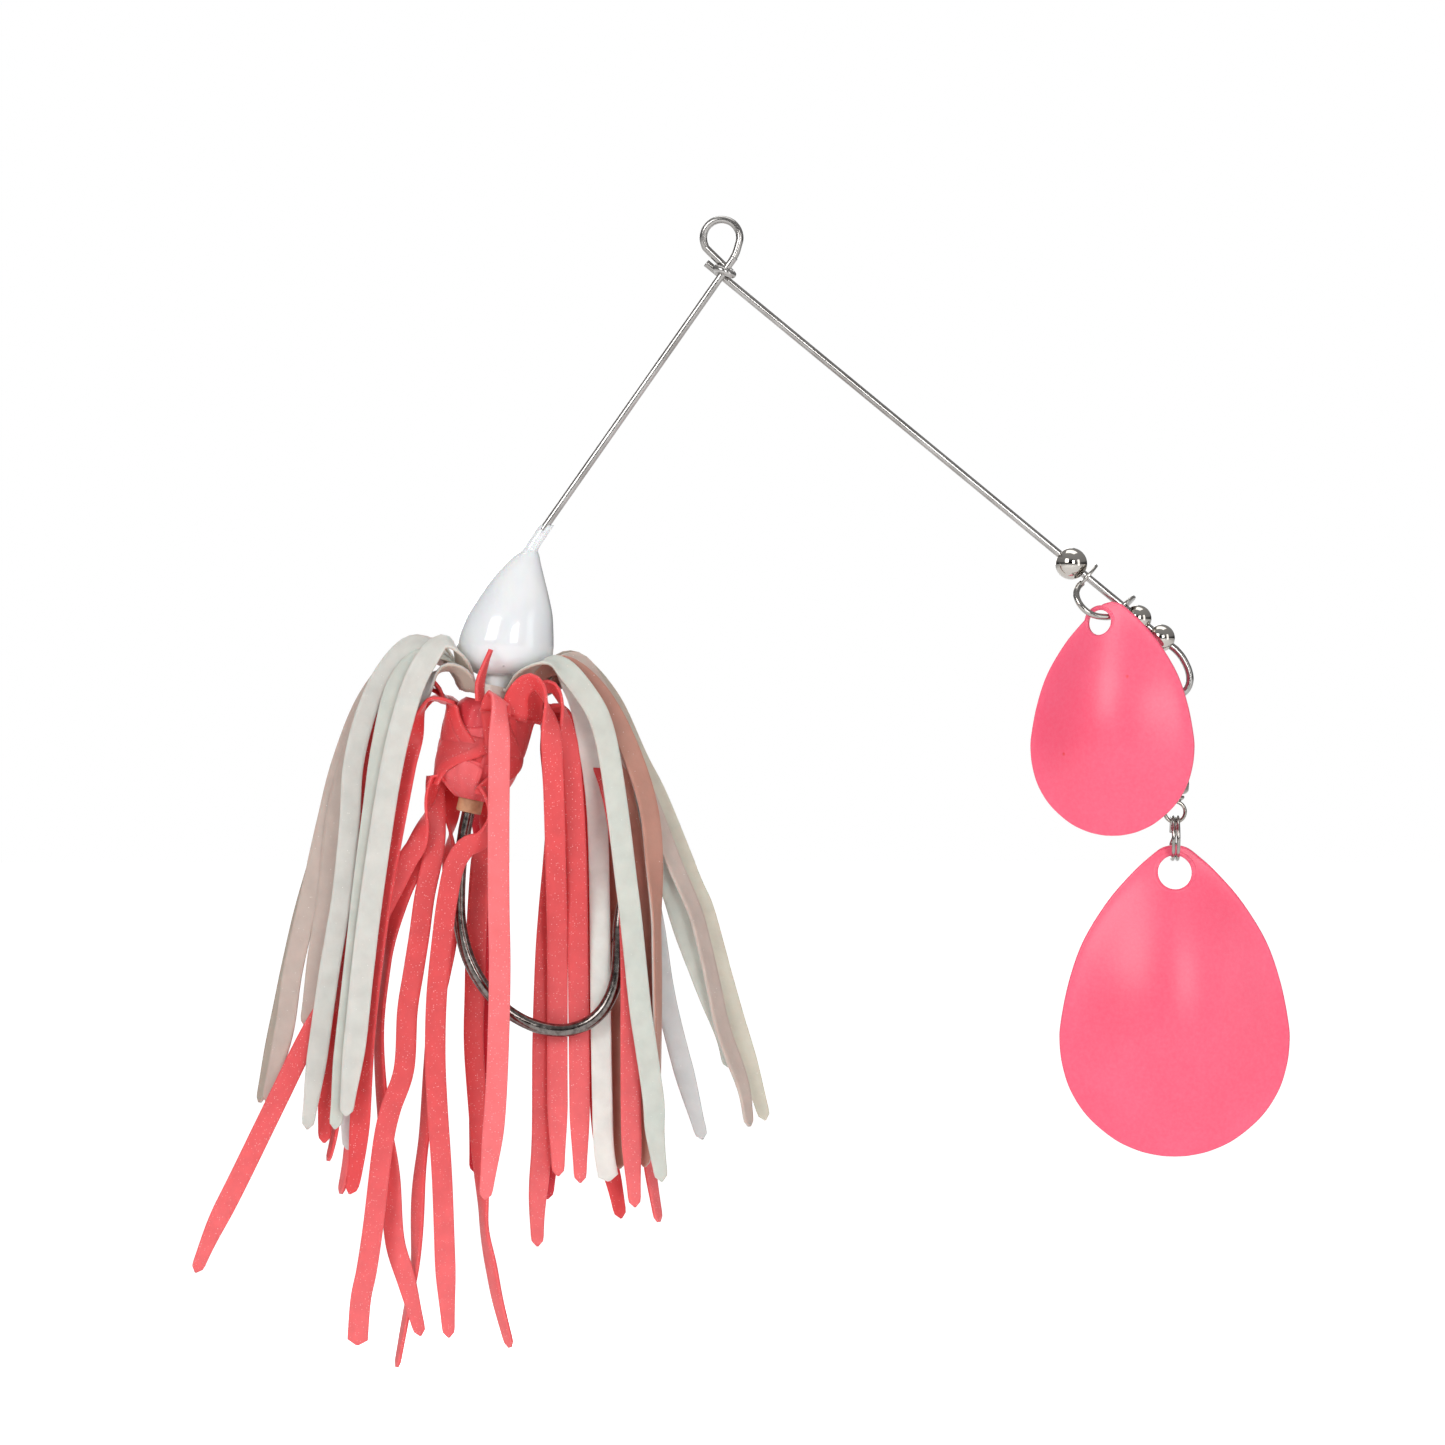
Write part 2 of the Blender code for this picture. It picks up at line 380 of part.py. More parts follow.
def combine(target, shape, operation):
    """Join or cut the target with another mesh, given in world millimetres."""
    cutter = add_mesh(target.name + "_" + operation.lower(), shape, target.data.materials[0])
    cutter.hide_render = True
    cutter.display_type = "WIRE"
    modifier = target.modifiers.new(operation.title(), "BOOLEAN")
    modifier.operation = operation
    modifier.solver = "EXACT"
    modifier.object = cutter


def along_shank(distance):
    return HOOK_TOP + SHANK_DIR * distance


def shank_matrix():
    return frame_matrix(HOOK_TOP, SHANK_SIDE, SHANK_DIR.cross(SHANK_SIDE), SHANK_DIR)


def along_arm(distance):
    return ARM_START + ARM_DIR * distance


# ---------------------------------------------------------------- wire, hook and head
def leg_and_eye_points():
    """From the head up the leg, round the eye, and once round the leg to the arm."""
    back = Vector((0, 1, 0))
    leg_dir = (LEG_FOOT - LEG_TOP).normalized()
    side = Vector((-leg_dir.z, 0, leg_dir.x)).normalized()
    points = [LEG_FOOT, LEG_TOP, LEG_TOP - leg_dir * 0.8, EYE_ENTRY]
    steps = 20
    near, far = EYE_DEPTHS
    for k in range(steps + 1):
        turn = EYE_START + EYE_SWEEP * k / steps
        depth = near + (far - near) * k / steps
        points.append(Vector((EYE_R * math.cos(turn), depth, EYE_R * math.sin(turn))))
    wrap_steps = 16
    for k in range(wrap_steps + 1):
        turn = TURN * k / wrap_steps
        centre = LEG_TOP + leg_dir * WRAP_PITCH * k / wrap_steps
        points.append(centre + WRAP_R * (back * math.cos(turn) + side * math.sin(turn)))
    return points


def wire_points():
    points = smooth_points(ANCHOR_ROUTE, 20)
    points += leg_and_eye_points()
    points += [along_arm(1.2), along_arm(ARM_STRAIGHT)]
    points += smooth_points([along_arm(ARM_STRAIGHT + 0.5)] + END_LOOP_ROUTE, 26)
    return points


def shank_and_bend_points():
    bend = smooth_points([along_shank(SHANK_STRAIGHT)] + BEND_ROUTE, 46)
    return [along_shank(0), along_shank(SHANK_STRAIGHT * 0.5)] + bend


def hook_points():
    centre = HOOK_TOP - SHANK_SIDE * HOOK_EYE_R
    steps = 18
    eye = []
    for k in range(steps):
        turn = HOOK_EYE_TURN * (1 - k / steps)
        eye.append(centre + HOOK_EYE_R * (SHANK_SIDE * math.cos(turn) - SHANK_DIR * math.sin(turn)))
    return eye + shank_and_bend_points()


def build_wire_frame():
    steel = make_material("spring_wire", (0.62, 0.61, 0.60), 0.28, 1.0)
    add_tube("wire_frame", wire_points(), WIRE_R, 2, steel)


def build_hook():
    points = hook_points()
    total = 0.0
    tapers = [1.0] * len(points)
    for k in range(len(points) - 1, 0, -1):
        tapers[k] = min(1.0, POINT_TIP + (1 - POINT_TIP) * (total / POINT_LENGTH) ** POINT_POWER)
        total += (points[k] - points[k - 1]).length
    steel = make_material("black_nickel", (0.09, 0.085, 0.08), 0.3, 1.0)
    hook = add_mesh("hook", tube_mesh(points, HOOK_R, 3, tapers), steel)
    combine(hook, barb_mesh(), "UNION")


def barb_mesh():
    bm = bmesh.new()
    thick = Vector((0, BARB_HALF_THICK, 0))
    for corner in (BARB_TOP, BARB_TIP, BARB_ROOT):
        bm.verts.new(corner - thick)
        bm.verts.new(corner + thick)
    bmesh.ops.convex_hull(bm, input=bm.verts)
    return mesh_from(bm, smooth=False)


def head_mesh():
    bm = bmesh.new()
    rings = []
    for height, centre, half_width, half_depth in HEAD_SECTIONS:
        ring = []
        for k in range(HEAD_SIDES):
            turn = TURN * k / HEAD_SIDES
            ring.append(bm.verts.new((centre + half_width * math.cos(turn), half_depth * math.sin(turn),
                                      height)))
        rings.append(ring)
    for upper, lower in zip(rings, rings[1:]):
        for k in range(HEAD_SIDES):
            following = (k + 1) % HEAD_SIDES
            bm.faces.new((upper[k], upper[following], lower[following], lower[k]))
    bm.faces.new(rings[0])
    bm.faces.new(rings[-1])
    return mesh_from(bm)


def build_head():
    """The casting, with the channels that the wire and the hook lie in left open at the nose and the tail."""
    paint = make_material("white_gloss_paint", (0.86, 0.87, 0.88), 0.18)
    head = add_mesh("head", head_mesh(), paint)
    wire_channel = smooth_points(ANCHOR_ROUTE, 20) + [LEG_FOOT, LEG_FOOT.lerp(LEG_TOP, 0.15)]
    combine(head, tube_mesh(wire_channel, WIRE_R + FIT, 2), "DIFFERENCE")
    hook_channel = hook_points()[:20]
    hook_channel[-1] = along_shank(HOOK_CHANNEL_END)
    combine(head, tube_mesh(hook_channel, HOOK_R + FIT, 3), "DIFFERENCE")


# ---------------------------------------------------------------- skirt
def ring_outline(inner, outer, start, end):
    return [(inner, start), (outer, start), (outer, end), (inner, end)]


def build_skirt_holders():
    matrix = shank_matrix()
    rubber = make_material("tan_rubber", (0.62, 0.40, 0.24), 0.6)
    pale = make_material("white_collar_rubber", (0.80, 0.77, 0.72), 0.5)
    coral = make_material("pink_hub_silicone", (0.82, 0.10, 0.11), 0.45)
    start, end, outer = TUBE
    tube = ring_outline(HOOK_R + FIT, outer, start, end)
    add_mesh("skirt_core_tube", lathe_mesh(tube, matrix), rubber)
    start, end, outer = COLLAR
    collar = ring_outline(KEEPER_R + FIT, outer, start, end)
    add_mesh("skirt_collar_white", lathe_mesh(collar, matrix), pale)
    bore = TUBE[2] + FIT
    hub = [(bore, HUB_PROFILE[0][1])] + HUB_PROFILE + [(bore, HUB_PROFILE[-1][1])]
    add_mesh("skirt_hub_pink", lathe_mesh(hub, matrix, 36), coral)


def build_tab():
    """The short cut strand in front of the head, a flat strip seen on its edge."""
    coral = make_material("pink_tab_silicone", (0.85, 0.13, 0.14), 0.4)
    bm = bmesh.new()
    sections = []
    for point in smooth_points(TAB_ROUTE, 9):
        corners = []
        for x, y in ((-1, -1), (1, -1), (1, 1), (-1, 1)):
            offset = Vector((x * TAB_THICK / 2, y * TAB_WIDTH / 2, 0))
            corners.append(bm.verts.new(point + offset))
        sections.append(corners)
    for lower, upper in zip(sections, sections[1:]):
        for k in range(4):
            following = (k + 1) % 4
            bm.faces.new((lower[k], lower[following], upper[following], upper[k]))
    bm.faces.new(sections[0])
    bm.faces.new(sections[-1])
    add_mesh("skirt_tab_pink", mesh_from(bm, smooth=False), coral)


def strand_points(ring, turn_degrees, route):
    """The strand's start on its ring, one point straight out from it, then the route."""
    distance, radius = ring
    turn = math.radians(turn_degrees)
    outward = SHANK_SIDE * math.sin(turn) - Vector((0, 1, 0)) * math.cos(turn)
    start = along_shank(distance) + outward * radius
    return smooth_points([start, start + outward * STRAND_START] + route, STRAND_POINTS)


def build_strands():
    white = make_material("white_silicone", (0.72, 0.71, 0.66), 0.45)
    coral = make_material("pink_glitter_silicone", (0.88, 0.17, 0.19), 0.4)
    for colour, material, rows in (("white", white, WHITE_STRANDS), ("pink", coral, PINK_STRANDS)):
        for number, (ring, turn, route) in enumerate(rows, start=1):
            name = f"strand_{colour}_{number:02d}"
            add_tube(name, strand_points(ring, turn, route), STRAND_R, 2, material)


# ---------------------------------------------------------------- beads, clevis and blades
def arm_matrix(distance, turn=0.0):
    """Z along the arm, X out from it: down-left at no turn, and towards -Y as it turns."""
    out = Vector((ARM_DIR.z, 0, -ARM_DIR.x)) * math.cos(turn) + Vector((0, -1, 0)) * math.sin(turn)
    return frame_matrix(along_arm(distance), out, ARM_DIR.cross(out), ARM_DIR)


def bead_outline(radius):
    bore = WIRE_R + BEAD_FIT
    limit = math.acos(bore / radius)
    steps = 10
    outline = []
    for k in range(steps + 1):
        turn = -limit + 2 * limit * k / steps
        outline.append((radius * math.cos(turn), radius * math.sin(turn)))
    return outline


def build_beads():
    nickel = make_material("polished_nickel", (0.72, 0.70, 0.67), 0.08, 1.0)
    for name, (distance, radius) in BEADS.items():
        shape = lathe_mesh(bead_outline(radius), arm_matrix(distance), 28)
        add_mesh(name, shape, nickel, along_arm(distance))


def ear_mesh(distance, splay):
    tilt = Matrix.Rotation(splay, 4, "Y")
    outline = ring_outline(WIRE_R + EAR_PLAY, EAR_R, -EAR_THICK / 2, EAR_THICK / 2)
    return lathe_mesh(outline, arm_matrix(distance, CLEVIS_TURN) @ tilt, 28)


def build_clevis():
    steel = make_material("clevis_nickel", (0.60, 0.58, 0.55), 0.2, 1.0)
    frame = arm_matrix(0, CLEVIS_TURN)
    route = [frame @ Vector((out, 0, distance)) for distance, out in BOW_ROUTE]
    origin = along_arm((EAR_1 + EAR_2) / 2)
    clevis = add_mesh("clevis", tube_mesh(smooth_points(route, 20), BOW_R, 2), steel, origin)
    combine(clevis, ear_mesh(EAR_1, EAR_SPLAY), "UNION")
    combine(clevis, ear_mesh(EAR_2, -EAR_SPLAY), "UNION")


def blade_matrix(blade):
    """X across the blade, Y down its length from the hole, Z out of its convex face."""
    turn = blade["turn"]
    across = Vector((math.cos(turn), -math.sin(turn), 0))
    convex = Vector((-math.sin(turn), -math.cos(turn), 0))
    return frame_matrix(blade["hole"], across, Vector((0, 0, -1)), convex)


def cup_height(blade, share):
    """Height over the rim at a share of the way from the deepest point to the outline."""
    return blade["cup"] * (1 - share ** 2) ** CUP_POWER


def blade_mesh(blade):
    """A cupped shell: rings from the deepest point of the cup out to the outline."""
    scale = blade["scale"]
    at_hole = cup_height(blade, 1 - BLADE_HOLE_DOWN / BLADE_CUP_DOWN)
    right = [p.xy for p in smooth_points([(w, d, 0) for d, w in BLADE_OUTLINE], BLADE_EDGE)]
    outline = right + [Vector((-p.x, p.y)) for p in reversed(right[1:-1])]
    cup = Vector((0, BLADE_CUP_DOWN))
    bm = bmesh.new()
    layers = []
    for side in (0.5, -0.5):
        rings = []
        for k in range(1, BLADE_RINGS + 1):
            share = k / BLADE_RINGS
            height = cup_height(blade, share) - at_hole + side * blade["thick"]
            ring = []
            for point in outline:
                flat = cup.lerp(point, share) * scale
                ring.append(bm.verts.new((flat.x - blade["across"], flat.y - BLADE_HOLE_DOWN * scale, height)))
            rings.append(ring)
        middle = bm.verts.new((-blade["across"], (BLADE_CUP_DOWN - BLADE_HOLE_DOWN) * scale,
                               blade["cup"] - at_hole + side * blade["thick"]))
        for k in range(len(outline)):
            bm.faces.new((middle, rings[0][k - 1], rings[0][k]))
        for inner, outer in zip(rings, rings[1:]):
            for k in range(len(outline)):
                bm.faces.new((inner[k - 1], outer[k - 1], outer[k], inner[k]))
        layers.append(rings[-1])
    for k in range(len(outline)):
        bm.faces.new((layers[0][k - 1], layers[1][k - 1], layers[1][k], layers[0][k]))
    bmesh.ops.transform(bm, matrix=blade_matrix(blade), verts=bm.verts)
    return mesh_from(bm)


def build_blade(name, blade, origin):
    paint = make_material(name + "_pink_paint", (1.0, 0.15, 0.26), 0.3)
    item = add_mesh(name, blade_mesh(blade), paint, origin)
    radius = blade["hole_r"]
    outline = [(0, -DRILL_REACH), (radius, -DRILL_REACH), (radius, DRILL_REACH), (0, DRILL_REACH)]
    combine(item, lathe_mesh(outline, blade_matrix(blade), 28), "DIFFERENCE")


# ---------------------------------------------------------------- swivel and split ring
def eye_ring_mesh(centre, first, second):
    """A closed ring of round wire."""
    bm = bmesh.new()
    sides = 10
    start = centre + first * SWIVEL_EYE_R
    section = []
    for k in range(sides):
        turn = TURN * k / sides
        offset = first * math.cos(turn) + first.cross(second) * math.sin(turn)
        section.append(bm.verts.new(start + offset * SWIVEL_EYE_WIRE))
    edges = [bm.edges.new((section[k - 1], section[k])) for k in range(sides)]
    bmesh.ops.spin(bm, geom=section + edges, cent=centre, axis=first.cross(second), angle=TURN, steps=28)
    bmesh.ops.remove_doubles(bm, verts=bm.verts, dist=0.0001)
    return mesh_from(bm)


def build_swivel_eye(name, eye_height, direction, first, origin):
    """One eye: its ring, a pin with a shoulder, and the head that the barrel keeps in."""
    steel = make_material(name + "_nickel", (0.62, 0.60, 0.56), 0.22, 1.0)
    centre = Vector((SWIVEL_X, 0, eye_height))
    toward = Vector((0, 0, direction))
    eye = add_mesh(name, eye_ring_mesh(centre, first, Vector((0, 0, 1))), steel, origin)
    face = BARREL_TOP if direction < 0 else BARREL_BOTTOM
    to_face = abs(face - eye_height)
    reach = to_face + BARREL_WALL
    start = SWIVEL_EYE_R - 0.05
    shoulder = to_face - SHOULDER_GAP
    widest = max(start + 0.3, shoulder - SHOULDER_LENGTH)
    head = reach + PIN_HEAD_GAP
    outline = [(0, start), (NECK_R, start), (SHOULDER_R, widest), (SHOULDER_R, shoulder), (PIN_R, shoulder),
               (PIN_R, head), (PIN_HEAD_R, head), (PIN_HEAD_R, head + PIN_HEAD_LENGTH),
               (0, head + PIN_HEAD_LENGTH)]
    across = Vector((1, 0, 0))
    pin = lathe_mesh(outline, frame_matrix(centre, across, toward.cross(across), toward), 20)
    combine(eye, pin, "UNION")


def build_swivel():
    x_axis = Vector((1, 0, 0))
    y_axis = Vector((0, 1, 0))
    build_swivel_eye("swivel_eye_upper", UPPER_EYE_Z, -1, y_axis, Vector((SWIVEL_X, 0, LOOP_BOTTOM_Z)))
    build_swivel_eye("swivel_eye_lower", LOWER_EYE_Z, 1, x_axis, Vector((SWIVEL_X, 0, BARREL_BOTTOM)))
    brass = make_material("swivel_barrel_nickel", (0.55, 0.52, 0.47), 0.25, 1.0)
    gap = PIN_R + BARREL_GAP
    across, along = BARREL_CHAMFER
    inner = BARREL_R - BARREL_WALL
    top, bottom = BARREL_TOP, BARREL_BOTTOM
    outline = [(gap, bottom), (BARREL_R - across, bottom), (BARREL_R, bottom + along),
               (BARREL_R, top - along), (BARREL_R - across, top), (gap, top), (gap, top - BARREL_WALL),
               (inner, top - BARREL_WALL), (inner, bottom + BARREL_WALL), (gap, bottom + BARREL_WALL)]
    shape = lathe_mesh(outline, Matrix.Translation((SWIVEL_X, 0, 0)), 28)
    add_mesh("swivel_barrel", shape, brass, Vector((SWIVEL_X, 0, top)))


def build_split_ring():
    """Two flat turns of wire, joined by a short ramp at the back."""
    points = []
    steps = 44
    for k in range(steps + 1):
        turn = RING_RAMP / 2 + (2 * TURN - RING_RAMP) * k / steps
        past = min(1.0, max(0.0, (turn - TURN + RING_RAMP / 2) / RING_RAMP))
        offset = Vector((RING_COIL * (2 * past - 1), RING_R * math.cos(turn), RING_R * math.sin(turn)))
        points.append(RING_CENTRE + offset)
    steel = make_material("split_ring_nickel", (0.58, 0.56, 0.53), 0.2, 1.0)
    pivot = Vector((SWIVEL_X, 0, LOWER_EYE_Z - SWIVEL_EYE_R))
    add_tube("split_ring", points, RING_WIRE, 2, steel, pivot)


def build():
    clear_scene()
    build_wire_frame()
    build_hook()
    build_head()
    build_skirt_holders()
    build_tab()
    build_strands()
    build_beads()
    build_clevis()
    build_blade("blade_small", SMALL, SMALL_PIVOT)
    build_swivel()
    build_split_ring()
    build_blade("blade_large", LARGE, Vector((SWIVEL_X, 0, RING_CENTRE.z - RING_R)))


build()
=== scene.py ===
"""Looks of a hanging spinnerbait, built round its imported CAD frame.

Routes and sizes are written in millimetres and scaled to metres by MM. The origin is
the centre of the line-tie eye, +Z is up, and the bent wire lies near the XZ plane.
"""
import math
import random

import bmesh
import bpy
import numpy as np
from mathutils import Matrix, Vector


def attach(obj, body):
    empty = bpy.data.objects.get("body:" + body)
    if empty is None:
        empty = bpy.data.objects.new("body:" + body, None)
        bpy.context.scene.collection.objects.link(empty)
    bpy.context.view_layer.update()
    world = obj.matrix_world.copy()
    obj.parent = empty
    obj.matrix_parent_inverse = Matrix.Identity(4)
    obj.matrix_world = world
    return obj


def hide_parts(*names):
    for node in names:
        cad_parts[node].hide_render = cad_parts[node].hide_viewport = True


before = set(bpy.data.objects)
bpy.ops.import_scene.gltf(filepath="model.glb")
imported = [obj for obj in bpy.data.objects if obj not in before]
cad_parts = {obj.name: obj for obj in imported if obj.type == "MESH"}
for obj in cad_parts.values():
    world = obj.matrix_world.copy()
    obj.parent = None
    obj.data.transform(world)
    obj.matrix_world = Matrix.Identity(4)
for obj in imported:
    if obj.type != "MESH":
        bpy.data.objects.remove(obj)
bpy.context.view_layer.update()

MM = 0.001
TURN = 2 * math.pi
BACK = np.array([0.0, 1.0, 0.0])

# ---------------------------------------------------------------- camera
FRAME_WIDTH = 170.5             # what the camera sees across, at the wire's plane
VIEW_CENTRE = (0.12, -57.16)    # x and z in the middle of the view
LENS = 180.0
SENSOR = 36.0

# ---------------------------------------------------------------- wire, hook and head
WIRE_R = 0.45
EYE_R = 2.15
WRAP_R = 1.0
WRAP_PITCH = 1.05
LEG_TOP = Vector((0.62, -1.0, -3.58))
LEG_FOOT = Vector((-21.1, -0.35, -34.5))
EYE_ENTRY = Vector((1.66, -0.97, -1.9))
ARM_START = Vector((0.014, 0.0, -4.436))
ARM_DIR = Vector((0.7718, 0.0, -0.6359)).normalized()
ARM_STRAIGHT = 69.0
END_LOOP_ROUTE = [(54.4, 0, -49.55), (55.1, 0, -51.0), (55.25, 0, -52.3), (54.75, 0, -53.4),
                  (53.6, 0, -54.0), (52.3, 0, -53.65), (51.5, 0, -52.6), (51.4, 0, -51.3), (51.9, 0, -50.1)]
HOOK_R = 0.775
HOOK_TOP = Vector((-24.72, 0.0, -44.13))
SHANK_DIR = Vector((-0.2128, 0.0, -0.9771)).normalized()
SHANK_SIDE = Vector((0.9771, 0.0, -0.2128)).normalized()
SHANK_STRAIGHT = 24.4
BEND_ROUTE = [(-30.4, 0, -70.6), (-30.8, 0, -73.6), (-31.0, 0, -77.2), (-30.9, 0, -80.6), (-30.2, 0, -84.0),
              (-29.1, 0, -86.6), (-27.4, 0, -89.1), (-25.0, 0, -91.4), (-21.9, 0, -93.0), (-18.8, 0, -93.5),
              (-16.1, 0, -92.8), (-14.2, 0, -91.3), (-13.0, 0, -89.3), (-12.35, 0, -87.0), (-12.1, 0, -84.0),
              (-12.05, 0, -81.2), (-11.95, 0, -78.9), (-11.7, 0, -76.7)]
POINT_LENGTH = 4.6
BARB_CORNERS = [(-12.0, -79.6), (-13.15, -83.4), (-12.05, -81.6)]
BARB_HALF_THICK = 0.3
BARB_EDGE = 0.2                 # the barb's free corner, as a share of its thickness
HOOK_START = 7.0                # distance along the shank, inside the head's keeper
HEAD_RINGS = 150
HEAD_SIDES = 72
# (height, centre x, half width, half depth)
HEAD_SECTIONS = [(-33.9, -20.65, 0.88, 0.78), (-35.4, -21.65, 0.88, 0.78), (-36.5, -22.38, 0.88, 0.8),
                 (-36.95, -22.66, 1.0, 0.92), (-37.5, -23.02, 1.5, 1.35), (-38.6, -23.5, 2.2, 2.0),
                 (-40.1, -24.0, 3.05, 2.7), (-42.4, -24.55, 4.15, 3.6), (-44.5, -25.0, 5.0, 4.35),
                 (-46.4, -25.35, 5.45, 4.8), (-47.6, -25.5, 5.62, 4.95),
                 (-48.5, -25.5, 5.6, 4.9), (-49.8, -25.4, 5.25, 4.6), (-50.8, -25.4, 4.4, 3.9),
                 (-51.4, -25.8, 3.1, 2.9), (-51.7, -26.35, 1.75, 1.7), (-54.4, -26.95, 1.75, 1.7)]

# ---------------------------------------------------------------- skirt holders
KEEPER_R = 1.75
FIT = 0.1
COLLAR = (8.9, 10.3, 3.0)
TUBE = (10.9, 24.2, 1.5)
HUB_PROFILE = [(3.7, 10.9), (4.4, 11.7), (4.7, 13.5), (4.9, 16.0), (4.8, 18.0), (4.2, 20.2), (3.0, 21.8),
               (2.1, 22.6)]
TAB_ROUTE = [(-28.3, -5.6, -54.6), (-28.3, -5.75, -52.6), (-27.7, -5.9, -50.4), (-27.0, -6.0, -48.6)]

# ---------------------------------------------------------------- strands
RING_UPPER = (9.1, 3.3)
RING_LOWER = (10.05, 3.3)
RING_RIM = (12.0, 5.1)
RING_FOOT = (21.2, 4.1)
